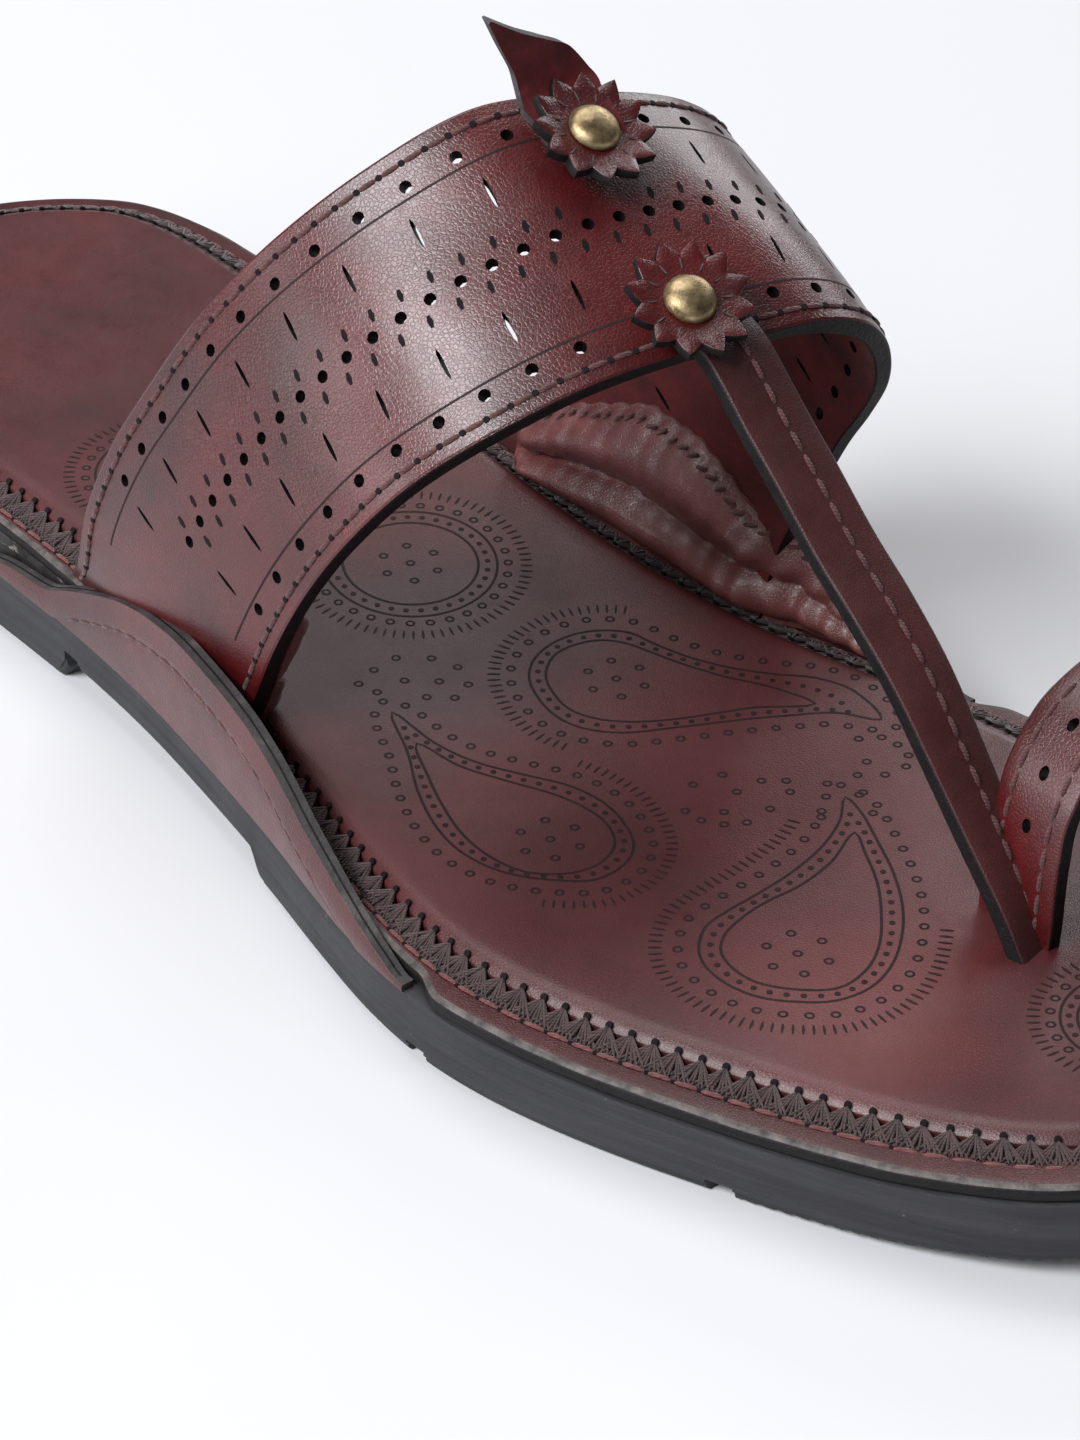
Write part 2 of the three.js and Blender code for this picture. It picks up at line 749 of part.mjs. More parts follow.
// Pointed leaf that starts under the rear rosette and stands up behind it
function leafTab() {
  const base = rosetteRear.point.clone().addScaledVector(rosetteRear.normal, leafThickness + gap);
  // run and rise of the leaf as shares of leafLength, and its share of leafWidth
  const leafTable = [
    // along the band, across, up, width
    [-0.10, 0.02, -0.06, 0.80],
    [0.00, 0.00, 0.00, 0.95],
    [0.20, 0.00, 0.115, 1.00],
    [0.31, 0.00, 0.19, 1.00],
    [0.37, -0.05, 0.32, 0.86],
    [0.38, -0.16, 0.46, 0.54],
    [0.37, -0.31, 0.61, 0.28],
    [0.36, -0.455, 0.77, 0.04],
  ];
  const run = leafTable.map(([along, across, up]) => (
    base.clone().add(vec(across, along, up).multiplyScalar(leafLength))
  ));
  const line = smoothPoints(run, 14);
  const width = smoothPoints(leafTable.map((r) => vec(r[3], 0, 0)), 14);
  const widths = width.map((w) => vec(1, -0.1, 0.15).normalize().multiplyScalar(leafWidth * w.x));
  return ribbon(line, widths, leafThickness);
}

// Assembly

const upperSolid = upper();
const bandRoom = (() => {
  const wide = bandGrids(bandCount, [-0.01, 0.25, 0.5, 0.75, 1.01], gap, bandThickness);
  return sheetBody(wide.top, wide.under);
})();

const leather = 0x5e2a2c;
const leatherFootbed = 0x73464a;
const leatherLining = 0x6b3b3c;
const rubber = 0x2e2e31;
const brass = 0x968765;

const sandal = new THREE.Group();
sandal.name = 'kolhapuri_sandal';
const add = (name, solid, color, roughness, metalness) => {
  sandal.add(meshOf(name, solid, color, roughness, metalness));
};

add('outsole', outsole(), rubber, 0.75, 0);
add('footbed_board', footbedBoard(), leather, 0.5, 0);
add('footbed_pad', footbedPad(), leatherFootbed, 0.5, 0);
add('upper', upperSolid, leather, 0.42, 0);
for (const [name, side] of [['flap_outer', -1], ['flap_inner', 1]]) {
  add(name, sideFlap(side).subtract(bandRoom), leather, 0.42, 0);
}
for (const [name, side] of [['lining_outer', -1], ['lining_inner', 1]]) {
  add(name, liningPad(side), leatherLining, 0.5, 0);
}

const frontLift = strapThickness + gap + rosetteSeat;
const rearLift = leafThickness + 2 * gap + rosetteSeat;
const shankRoom = (place) => onPlace(
  solidOf(new THREE.CylinderGeometry(
    shankDiameter / 2 + gap, shankDiameter / 2 + gap, drillLength, 16,
  )), place, 0,
);
add('rosette_front', onPlace(rosetteBlank(), rosetteFront, frontLift)
  .subtract(bandRoom).subtract(shankRoom(rosetteFront)), leather, 0.42, 0);
add('rosette_rear', onPlace(rosetteBlank(), rosetteRear, rearLift)
  .subtract(bandRoom).subtract(shankRoom(rosetteRear)), leather, 0.42, 0);
const rosetteRoom = solidOf(new THREE.CylinderGeometry(rosetteDiameter / 2 + gap,
  rosetteDiameter / 2 + gap, rosetteThickness + cupRise + 2 * gap, 40));
add('leaf_tab', leafTab().subtract(bandRoom).subtract(shankRoom(rosetteRear))
  .subtract(onPlace(rosetteRoom, rosetteRear, rearLift + (rosetteThickness + cupRise) / 2)),
leather, 0.45, 0);
add('rivet_front', onPlace(rivet(frontLift + rosetteThickness + gap), rosetteFront, 0), brass, 0.35, 0.9);
add('rivet_rear', onPlace(rivet(rearLift + rosetteThickness + gap), rosetteRear, 0), brass, 0.35, 0.9);

export default sandal;
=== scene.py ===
# Kolhapuri sandal, right shoe: leather upper and footbed, rubber outsole.
# Shapes are worked out in millimetres in the frame of the CAD model and laid in metres.
import math
import bpy
import numpy as np
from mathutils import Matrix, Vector
from mathutils.bvhtree import BVHTree


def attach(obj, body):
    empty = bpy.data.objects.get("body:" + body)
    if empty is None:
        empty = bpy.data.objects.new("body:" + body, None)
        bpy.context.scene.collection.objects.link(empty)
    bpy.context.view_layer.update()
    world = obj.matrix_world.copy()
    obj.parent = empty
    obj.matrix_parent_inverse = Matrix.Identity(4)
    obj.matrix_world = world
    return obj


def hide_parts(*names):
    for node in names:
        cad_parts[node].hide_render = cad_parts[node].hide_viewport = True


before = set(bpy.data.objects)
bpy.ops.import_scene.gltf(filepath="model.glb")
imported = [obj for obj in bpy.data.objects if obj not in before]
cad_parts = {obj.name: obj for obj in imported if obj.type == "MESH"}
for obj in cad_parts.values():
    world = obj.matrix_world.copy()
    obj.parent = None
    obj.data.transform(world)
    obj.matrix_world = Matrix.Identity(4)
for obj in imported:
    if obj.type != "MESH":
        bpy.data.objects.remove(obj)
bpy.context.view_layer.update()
scene = bpy.context.scene
MM = 0.001

# ---- sizes, as in the CAD model
LENGTH, BALL = 285.0, 100.2
HALF, HEEL_Y = BALL / 2, LENGTH / 2
FORE_RIM, HEEL_RIM, SPRING = 11.8, 17.2, 4.5
BOARD, PAD_RISE, PAD_INSET = 2.1, 2.6, 7.1
WALL, WALL_STEP, TREAD, ARCH = 9.4, 0.6, 1.6, 3.5
CORE_INSET, GAP = 0.9, 0.3
BAND_T, BAND_TOP, BAND_W = 2.8, 74.6, 42.2
FLAP_T, FLAP_H, FLAP_LEAN = 1.8, 15.2, 0.7
LINING_T = 3.6
STRAP_W, STRAP_T = 9.6, 2.4
LOOP_W, LOOP_T, LOOP_RISE, POST_X = 12.4, 2.4, 30.5, 12.0
ROSETTE_R, ROSETTE_T, TEETH, TOOTH, CUP = 8.3, 1.7, 12, 2.0, 1.1
DOME_R, DOME_RISE, CAP_R, CAP_T, SHANK_R = 3.4, 1.9, 3.3, 0.8, 1.2
LEAF_T, LEAF_L, LEAF_W = 1.6, 22.0, 10.4
SEAT = 0.25
# pitches, seams, notches (stations, and size in metres), and the plan point that plates close in on
HOLE_PITCH, CORD_PITCH, SEAM_PITCH, LINING_PITCH = 3.15, 3.5, 3.3, 2.3
BAND_PITCH, PRICK_SHIFT, FLAP_SEAM, ROSETTE_CLEAR = 3.35, 1.68, 4.4, 7.6
NOTCHES, NOTCH_SIZE = (0.352, 0.676, 0.826), (0.018, 0.0034, 0.0044)
CENTRE = np.array([2.0, -12.0])

# station from the heel, outer and inner edge as shares of half the ball width
OUTLINE = [
    [0.000, -0.030, -0.030], [0.012, -0.330, 0.272], [0.030, -0.516, 0.457],
    [0.060, -0.655, 0.623], [0.100, -0.730, 0.700], [0.160, -0.761, 0.722],
    [0.230, -0.767, 0.709], [0.300, -0.761, 0.695], [0.360, -0.765, 0.691],
    [0.420, -0.789, 0.692], [0.480, -0.834, 0.706], [0.540, -0.889, 0.749],
    [0.590, -0.944, 0.813], [0.640, -0.989, 0.889], [0.680, -0.997, 0.943],
    [0.715, -0.971, 0.980], [0.750, -0.919, 1.000], [0.785, -0.849, 1.000],
    [0.820, -0.766, 0.990], [0.855, -0.680, 0.965], [0.890, -0.585, 0.925],
    [0.920, -0.484, 0.870], [0.945, -0.378, 0.800], [0.965, -0.249, 0.710],
    [0.982, -0.095, 0.590], [0.994, 0.060, 0.460], [1.000, 0.280, 0.280]]
RISE = [[0, 1], [0.2, 1], [0.3, 0.93], [0.4, 0.7], [0.5, 0.32], [0.6, 0.05], [0.66, 0], [1, 0]]
SPRING_TABLE = [[0, 0], [0.82, 0], [0.88, 0.14], [0.94, 0.5], [1, 1]]
ARCH_TABLE = [[0, 0], [0.338, 0], [0.35, 1], [0.524, 1], [0.536, 0], [1, 0]]
FLAP = [
    [0.275, 0.10], [0.300, 0.18], [0.330, 0.24], [0.352, 0.42], [0.376, 0.62],
    [0.404, 0.82], [0.432, 0.94], [0.462, 1.00], [0.492, 0.98], [0.520, 0.93],
    [0.545, 0.82], [0.575, 0.62], [0.600, 0.47], [0.625, 0.32], [0.650, 0.16], [0.668, 0.05]]
# front edge: across, along, up; to the rear edge: across, along, up
BAND = [
    [-0.769, 0.491, 0.000, 0.071, -1.011, 0.000], [-0.758, 0.503, 0.119, -0.005, -0.945, 0.045],
    [-0.746, 0.519, 0.289, -0.032, -0.962, 0.045], [-0.723, 0.540, 0.480, -0.025, -0.982, 0.057],
    [-0.670, 0.560, 0.640, -0.017, -1.002, 0.058], [-0.566, 0.582, 0.791, -0.040, -1.000, 0.124],
    [-0.399, 0.603, 0.906, -0.095, -0.960, 0.237], [-0.190, 0.618, 0.976, -0.117, -0.903, 0.361],
    [0.040, 0.629, 1.000, -0.094, -0.842, 0.488], [0.260, 0.637, 1.000, -0.070, -0.844, 0.469],
    [0.440, 0.644, 0.998, -0.036, -0.867, 0.410], [0.599, 0.645, 0.943, 0.000, -0.863, 0.393],
    [0.703, 0.639, 0.846, 0.043, -0.858, 0.391], [0.758, 0.630, 0.727, 0.071, -0.889, 0.320],
    [0.762, 0.619, 0.624, 0.090, -0.948, 0.166], [0.745, 0.608, 0.529, 0.085, -1.014, 0.000],
    [0.732, 0.592, 0.370, 0.024, -1.066, -0.071], [0.729, 0.574, 0.190, -0.062, -1.078, -0.047],
    [0.727, 0.564, 0.000, -0.095, -1.078, 0.000]]
# along, up, width, turn in degrees
STRAP = [
    [-0.050, -0.040, 1.00, 0], [0.040, 0.028, 1.00, 0], [0.110, 0.062, 1.00, 0],
    [0.234, 0.179, 1.00, 0], [0.314, 0.252, 1.00, 0], [0.426, 0.359, 1.00, 0],
    [0.530, 0.444, 1.00, 0], [0.640, 0.545, 0.98, 1], [0.739, 0.662, 0.96, 4],
    [0.835, 0.782, 0.93, 8], [0.940, 0.915, 0.88, 13], [1.010, 1.030, 0.82, 16]]
# across, up, shift, width
LOOP = [
    [0.000, -0.040, 0.00, 1.00], [0.005, 0.200, 0.01, 1.00], [0.025, 0.420, 0.00, 0.98],
    [0.075, 0.640, -0.01, 0.98], [0.190, 0.840, -0.02, 1.00], [0.360, 0.965, -0.02, 1.00],
    [0.530, 1.000, -0.02, 1.00], [0.700, 0.950, -0.02, 1.00], [0.845, 0.800, -0.01, 1.00],
    [0.925, 0.580, 0.00, 1.00], [0.955, 0.320, 0.00, 1.00], [0.950, -0.130, 0.00, 1.00]]
# along the band, across, up, width
LEAF = [
    [-0.10, 0.02, -0.06, 0.80], [0.00, 0.00, 0.00, 0.95], [0.20, 0.00, 0.115, 1.00],
    [0.31, 0.00, 0.19, 1.00], [0.37, -0.05, 0.32, 0.86], [0.38, -0.16, 0.46, 0.54],
    [0.37, -0.31, 0.61, 0.28], [0.36, -0.455, 0.77, 0.04]]


# ---- curves and surfaces
def read(table, s, column=1):
    last = len(table) - 1
    if s <= table[0][0]:
        return table[0][column]
    if s >= table[last][0]:
        return table[last][column]
    i = 0
    while table[i + 1][0] < s:
        i += 1
    s0, s1, v0, v1 = table[i][0], table[i + 1][0], table[i][column], table[i + 1][column]

    def slope(k):
        if k <= 0 or k >= last:
            return 0
        b = (table[k][column] - table[k - 1][column]) / (table[k][0] - table[k - 1][0])
        a = (table[k + 1][column] - table[k][column]) / (table[k + 1][0] - table[k][0])
        return 0 if b * a <= 0 else 2 * b * a / (b + a)

    h = s1 - s0
    t = (s - s0) / h
    a = t * t * (3 - 2 * t)
    return v0 + (v1 - v0) * a + h * (slope(i) * t * (1 - t) ** 2 - slope(i + 1) * t * t * (1 - t))


def profile(table, column=1):
    s = np.linspace(table[0][0], table[-1][0], 1601)
    v = np.array([read(table, q, column) for q in s])
    return lambda q: np.interp(q, s, v)


def smooth(points, count, closed=False):
    """Centripetal curve through points, count + 1 samples."""
    pts = [np.array(p, float) for p in points]
    n = len(pts)
    out = []
    for k in range(count + 1):
        p = (n - (0 if closed else 1)) * k / count
        i = int(math.floor(p))
        w = p - i
        if closed:
            i %= n
        elif w == 0 and i == n - 1:
            i, w = n - 2, 1
        p0 = pts[(i - 1) % n] if (closed or i > 0) else 2 * pts[0] - pts[1]
        p1, p2 = pts[i % n], pts[(i + 1) % n]
        p3 = pts[(i + 2) % n] if (closed or i + 2 < n) else 2 * pts[n - 1] - pts[n - 2]
        d0, d1, d2 = [max(((b - a) ** 2).sum() ** 0.25, 1e-9) for a, b in ((p0, p1), (p1, p2), (p2, p3))]
        d1 = 1 if d1 < 1e-4 else d1
        d0 = d1 if d0 < 1e-4 else d0
        d2 = d1 if d2 < 1e-4 else d2
        t1 = ((p1 - p0) / d0 - (p2 - p0) / (d0 + d1) + (p2 - p1) / d1) * d1
        t2 = ((p2 - p1) / d1 - (p3 - p1) / (d1 + d2) + (p3 - p2) / d2) * d1
        out.append(p1 + t1 * w + (-3 * p1 + 3 * p2 - 2 * t1 - t2) * w * w
                   + (2 * p1 - 2 * p2 + t1 + t2) * w ** 3)
    return np.array(out)


def unit(v):
    return v / np.maximum(np.linalg.norm(v, axis=-1, keepdims=True), 1e-12)


def wrap(line):
    return np.vstack([line, line[:1]])


def arc_of(points):
    return np.concatenate([[0], np.cumsum(np.linalg.norm(np.diff(points, axis=0), axis=1))])


def even(points, step):
    """Points at even steps along a polyline."""
    a = arc_of(points)
    s = np.linspace(0, a[-1], max(2, int(round(a[-1] / step)) + 1))
    return np.stack([np.interp(s, a, points[:, k]) for k in range(points.shape[1])], 1)


def even_loop(points, step):
    return even(wrap(points), step)[:-1]


def soft(x):
    x = np.clip(x, 0, 1)
    return x * x * (3 - 2 * x)


def station(y):
    return (HEEL_Y - y) / LENGTH


rise, springs, arches, flaps = profile(RISE), profile(SPRING_TABLE), profile(ARCH_TABLE), profile(FLAP)


def spring_at(y):
    return SPRING * springs(station(y))


def rim_top(y):
    s = station(y)
    return FORE_RIM + (HEEL_RIM - FORE_RIM) * rise(s) + SPRING * springs(s)


FLAP_START, FLAP_END = FLAP[0][0], FLAP[-1][0]


def flap_share(s):
    return soft(np.minimum((s - FLAP_START + 0.022) / 0.022, (FLAP_END + 0.022 - s) / 0.022))


def wall_top(y):
    s = station(y)
    behind = soft((FLAP_START - 0.01 - s) / 0.05)
    free = WALL + WALL_STEP * flap_share(s) * (1 - behind) + (HEEL_RIM - FORE_RIM) * behind * 0.94 + spring_at(y)
    return np.minimum(free, rim_top(y) - BOARD - GAP - 0.05)


def bottom_at(y):
    return ARCH * arches(station(y)) + spring_at(y)


def plan_loop(count):
    outer, inner = [[np.array([r[c] * HALF, HEEL_Y - r[0] * LENGTH]) for r in OUTLINE] for c in (1, 2)]
    p = smooth(outer + inner[::-1][1:-1], 2080, closed=True)
    p = p - (p.max(0) + p.min(0)) / 2
    a = arc_of(p)
    s = np.linspace(0, a[-1], count + 1)[:-1]
    return np.stack([np.interp(s, a, p[:, k]) for k in range(2)], 1)


def inset(loop, distance, reach=4):
    """Loop moved inward, square to the line between points reach steps away."""
    n = len(loop)
    q = np.roll(loop, -1, 0)
    turn = 1 if (loop[:, 0] * q[:, 1] - q[:, 0] * loop[:, 1]).sum() > 0 else -1
    d = unit(np.roll(loop, -reach, 0) - np.roll(loop, reach, 0))
    return loop + np.stack([-turn * d[:, 1], turn * d[:, 0]], 1) * np.reshape(distance, (-1, 1))


PLAN = plan_loop(900)
FLAP_ROOM = (FLAP_T + GAP) * flap_share(station(PLAN[:, 1]))


def edges_at(loop, y):
    """Least and greatest x of a loop at y."""
    hi, lo = loop[:, 1].argmax(), loop[:, 1].argmin()
    n = len(loop)
    a = loop[[(hi + k) % n for k in range((lo - hi) % n + 1)]]
    b = loop[[(lo + k) % n for k in range((hi - lo) % n + 1)]]
    xa = np.interp(-np.asarray(y), -a[:, 1], a[:, 0])
    xb = np.interp(y, b[:, 1], b[:, 0])
    return np.minimum(xa, xb), np.maximum(xa, xb)


PAD_LOOP = inset(PLAN, PAD_INSET)


def pad_distance(xy):
    """Distance of plan points from the pad's edge."""
    out = np.empty(len(xy))
    a, b = PAD_LOOP[::2], np.roll(PAD_LOOP[::2], -1, 0)
    ab = b - a
    for i in range(0, len(xy), 2000):
        p = xy[i:i + 2000, None, :]
        t = np.clip(((p - a) * ab).sum(-1) / (ab ** 2).sum(-1), 0, 1)
        out[i:i + 2000] = np.linalg.norm(p - a - ab * t[..., None], axis=-1).min(1)
    return out


def pad_shape(xy):
    """Height of the cushioned footbed as it is shaped."""
    xy = np.atleast_2d(xy)
    d = pad_distance(xy)
    x, y = xy[:, 0], xy[:, 1]
    x0, x1 = edges_at(PAD_LOOP, y)
    over = np.clip((x - (x0 + x1) / 2) / np.maximum((x1 - x0) / 2, 1), -1, 1)
    edge = 0.42 + 0.58 * (1 - (1 - np.clip(d / 3.4, 0, 1)) ** 2.6)
    dish = 0.34 * (1 - over ** 2) * soft(d / 14)
    waves = 0.07 * np.sin(x * 0.21 + 1.3 * np.sin(y * 0.07)) * np.sin(y * 0.13 + 0.6) * soft(d / 10)
    return rim_top(y) + PAD_RISE * edge - dish + waves


# ---- band surface
COUNT = 600
BAND_F, BAND_R = [], []
for across, along, up, dx, dy, dz in BAND:
    yy = HEEL_Y - along * LENGTH
    f = np.array([across * HALF, yy, rim_top(yy) + GAP + (BAND_TOP - FORE_RIM - GAP) * up])
    r = f + np.array([dx, -dy, dz]) * BAND_W
    if up == 0:
        r[2] = rim_top(r[1]) + GAP
    BAND_F.append(f)
    BAND_R.append(r)
BAND_F, BAND_R = smooth(BAND_F, COUNT), smooth(BAND_R, COUNT)
BAND_M = (BAND_F + BAND_R) / 2
BAND_ARC = arc_of(BAND_M)
BAND_LEN = BAND_ARC[-1]


def band_normals():
    out = []
    for f in (0, 0.5, 1):
        p = BAND_F * (1 - f) + BAND_R * f
        out.append(unit(np.cross(BAND_R - BAND_F, np.gradient(p, axis=0))))
    out = np.array(out)
    if out[1, COUNT // 2, 2] < 0:
        out = -out
    for k in (0, -1):
        out[:, k, 2] = 0
    return unit(out)


BAND_N = band_normals()


def band(arc, f, off=0.0):
    """Point and outward normal of the band's outer face at a run along it and a share across it."""
    arc, f = np.broadcast_arrays(np.asarray(arc, float), np.asarray(f, float))
    i = np.interp(arc, BAND_ARC, np.arange(COUNT + 1))
    k = np.minimum(i.astype(int), COUNT - 1)
    w = (i - k)[..., None]
    ff = f[..., None]
    front = BAND_F[k] * (1 - w) + BAND_F[k + 1] * w
    rear = BAND_R[k] * (1 - w) + BAND_R[k + 1] * w
    n0, n1, n2 = [BAND_N[j][k] * (1 - w) + BAND_N[j][k + 1] * w for j in range(3)]
    n = unit(np.where(ff < 0.5, n0 * (1 - 2 * ff) + n1 * 2 * ff, n1 * (2 - 2 * ff) + n2 * (2 * ff - 1)))
    foot = soft(arc / 25) * soft((BAND_LEN - arc) / 25)
    crown = 0.75 * np.sin(np.pi * np.clip(f, 0, 1)) * foot
    ripple = 0.16 * foot * np.sin(arc * 0.11 + 5 * f) * np.sin(3.1 * f + arc * 0.045)
    return front * (1 - ff) + rear * ff + n * (crown + ripple + off)[..., None], n


def band_place(x, y):
    """Point and normal of the band's top above a plan point."""
    arc, f = np.meshgrid(np.linspace(30, 175, 291), np.linspace(0, 1, 81), indexing="ij")
    p, n = band(arc, f)
    d = (p[..., 0] - x) ** 2 + (p[..., 1] - y) ** 2 + np.where(p[..., 2] > BAND_TOP * 0.6, 0, 1e6)
    k = np.unravel_index(d.argmin(), d.shape)
    return p[k], n[k]


# ---- making pieces
def deselect():
    if bpy.context.object and bpy.context.object.mode != "OBJECT":
        bpy.ops.object.mode_set(mode="OBJECT")
    bpy.ops.object.select_all(action="DESELECT")


def only(obj):
    deselect()
    obj.select_set(True)
    bpy.context.view_layer.objects.active = obj


def coords(obj):
    n = len(obj.data.vertices)
    v = np.empty(n * 3)
    obj.data.vertices.foreach_get("co", v)
    return v.reshape(n, 3)


def lay(obj, v):
    obj.data.vertices.foreach_set("co", np.ascontiguousarray(v, float).ravel())
    obj.data.update()


def paint(obj, mats):
    obj.data.materials.clear()
    for m in mats:
        obj.data.materials.append(m)


def edit(obj):
    only(obj)
    bpy.ops.object.mode_set(mode="EDIT")
    bpy.ops.mesh.select_all(action="SELECT")


def tidy(obj, merge=0.0, angle=40):
    """Merge doubles, turn the normals outward and keep edges over the angle sharp."""
    edit(obj)
    if merge:
        bpy.ops.mesh.remove_doubles(threshold=merge * MM)
    bpy.ops.mesh.normals_make_consistent(inside=False)
    bpy.ops.object.mode_set(mode="OBJECT")
    bpy.ops.object.shade_smooth_by_angle(angle=math.radians(angle))


def use(obj, kind, **values):
    only(obj)
    m = obj.modifiers.new("Step", kind)
    for k, v in values.items():
        setattr(m, k, v)
    bpy.ops.object.modifier_apply(modifier=m.name)


def grid(name, nu, nv):
    """Flat grid with nu by nv points, each point's column and row."""
    deselect()
    bpy.ops.mesh.primitive_grid_add(x_subdivisions=nu - 1, y_subdivisions=nv - 1, size=1)
    obj = bpy.context.object
    obj.name = obj.data.name = name
    return obj


def slab(name, top, under, mats, bevel=0.0, angle=40):
    """Closed sheet between two matching sets of points, its edge in the second material."""
    nu, nv = top.shape[:2]
    obj = grid(name, nu, nv)
    edit(obj)
    bpy.ops.mesh.extrude_region_move(TRANSFORM_OT_translate={"value": (0, 0, 1)})
    bpy.ops.object.mode_set(mode="OBJECT")
    v = coords(obj)
    i = np.clip(np.round((v[:, 0] + 0.5) * (nu - 1)).astype(int), 0, nu - 1)
    j = np.clip(np.round((v[:, 1] + 0.5) * (nv - 1)).astype(int), 0, nv - 1)
    up = v[:, 2] > 0.5
    paint(obj, mats)
    zs = [sum(up[k] for k in p.vertices) / len(p.vertices) for p in obj.data.polygons]
    last = len(mats) - 1
    obj.data.polygons.foreach_set("material_index", [0 if z > 0.9 else min(last, 2 if z < 0.1 else 1) for z in zs])
    lay(obj, np.where(up[:, None], top[i, j], under[i, j]) * MM)
    if bevel:
        tidy(obj)
        use(obj, "BEVEL", width=bevel * MM, segments=2, limit_method="ANGLE", angle_limit=math.radians(55),
            material=-1)
    tidy(obj, angle=angle)
    return obj


def ring(name, sections, mats, which=None, closed=False, angle=40):
    """Surface round a closed run of sections; closed joins each section's own ends too."""
    n, m = sections.shape[:2]
    nv = m + 1 if closed else m
    obj = grid(name, n + 1, nv)
    v = coords(obj)
    i = np.round((v[:, 0] + 0.5) * n).astype(int) % n
    j = np.round((v[:, 1] + 0.5) * (nv - 1)).astype(int) % m
    paint(obj, mats)
    if which is not None:
        rows = []
        for p in obj.data.polygons:
            c = sum(v[k, 1] for k in p.vertices) / len(p.vertices)
            rows.append(which[min(int((c + 0.5) * (nv - 1)), len(which) - 1)])
        obj.data.polygons.foreach_set("material_index", rows)
    lay(obj, sections[i, j] * MM)
    tidy(obj, merge=0.002, angle=angle)
    return obj


def tube_strip(name, lines, mats, half, high, low):
    """Thin flat bands along lines of (points, normals, closed), each a closed body."""
    verts, faces = [], []
    for pts, nrm, closed in lines:
        n, base = len(pts), len(verts)
        t = unit(np.roll(pts, -1, 0) - np.roll(pts, 1, 0)) if closed else unit(np.gradient(pts, axis=0))
        side = unit(np.cross(nrm, t))
        for k in range(n):
            for a, b in ((-half, -low), (half, -low), (half * 0.8, high), (-half * 0.8, high)):
                verts.append((pts[k] + side[k] * a + nrm[k] * b) * MM)
        for k in range(n if closed else n - 1):
            a, b = base + 4 * k, base + 4 * ((k + 1) % n)
            faces += [(a + c, b + c, b + (c + 1) % 4, a + (c + 1) % 4) for c in range(4)]
        if not closed:
            e = base + 4 * (n - 1)
            faces += [(base, base + 1, base + 2, base + 3), (e + 3, e + 2, e + 1, e)]
    return from_parts(name, verts, faces, mats)


def from_parts(name, verts, faces, mats, index=0, angle=40):
    mesh = bpy.data.meshes.new(name)
    mesh.from_pydata([tuple(v) for v in verts], [], faces)
    obj = bpy.data.objects.new(name, mesh)
    scene.collection.objects.link(obj)
    paint(obj, mats)
    mesh.polygons.foreach_set("material_index", [index] * len(faces))
    tidy(obj, angle=angle)
    return obj


def scatter(name, model, places, mats, index=0):
    """Copies of a small model, each at (origin, x axis, y axis, z axis), joined to one piece."""
    points = coords(model)
    sides = [tuple(p.vertices) for p in model.data.polygons]
    verts, faces = [], []
    for o, x, y, z in places:
        base = len(verts)
        verts.extend((points @ np.stack([x, y, z]) + np.asarray(o) * MM).tolist())
        faces.extend([tuple(base + k for k in f) for f in sides])
    bpy.data.objects.remove(model)
    return from_parts(name, verts, faces, mats, index, 60)


def join(name, parts):
    deselect()
    for p in parts:
        p.select_set(True)
    bpy.context.view_layer.objects.active = parts[0]
    bpy.ops.object.join()
    parts[0].name = parts[0].data.name = name
    return parts[0]


def disc_model(rx, ry, sides, deep):
    deselect()
    bpy.ops.mesh.primitive_cylinder_add(vertices=sides, radius=1, depth=1)
    obj = bpy.context.object
    lay(obj, coords(obj) * np.array([rx, ry, deep]) * MM)
    return obj


def thread_model(length, wide, high, sides=6, bend=0.0):
    """One stitch lying along X: a capsule of yarn, pressed a little into the leather at its ends."""
    deselect()
    bpy.ops.mesh.primitive_cylinder_add(vertices=sides, radius=0.5, depth=1, end_fill_type="TRIFAN",
                                        rotation=(0, math.pi / 2, 0))
    obj = bpy.context.object
    bpy.ops.object.transform_apply(location=False, rotation=True, scale=False)
    edit(obj)
    for x in (-0.3, 0.0, 0.3):
        bpy.ops.mesh.bisect(plane_co=(x, 0, 0), plane_no=(1, 0, 0), use_fill=False)
        bpy.ops.mesh.select_all(action="SELECT")
    bpy.ops.object.mode_set(mode="OBJECT")
    v = coords(obj)
    u = np.abs(v[:, 0]) * 2
    fat = np.where(u > 0.95, 0.45, 1.0)
    lay(obj, np.stack([v[:, 0] * length, v[:, 1] * wide * fat, v[:, 2] * high * fat - u ** 2 * bend], 1) * MM)
    return obj


def turned(x, y, angle):
    c, w = math.cos(angle), math.sin(angle)
    return x * c + y * w, y * c - x * w


def along(points, normals, pitch, off=0.1, closed=False, skew=0.0):
    """Places at even steps along a line, X along it and Z outward."""
    if closed:
        points, normals = wrap(points), wrap(normals)
    a = arc_of(points)
    total = a[-1]
    n = int(round(total / pitch)) if closed else int(total / pitch)
    s = np.arange(n) * (total / n) if closed else pitch * (np.arange(n) + 0.5)
    at = lambda q, arr: np.stack([np.interp(q, a, arr[:, k]) for k in range(3)], 1)
    ahead, behind = s + 0.5, s - 0.5
    ahead, behind = (ahead % total, behind % total) if closed else (np.minimum(ahead, total), np.maximum(behind, 0))
    o, z = at(s, points), unit(at(s, normals))
    x = unit(at(ahead, points) - at(behind, points))
    z = unit(z - x * (x * z).sum(1, keepdims=True))
    x, y = turned(x, np.cross(z, x), skew)
    return [(o[k] + z[k] * off, x[k], y[k], z[k]) for k in range(n)]


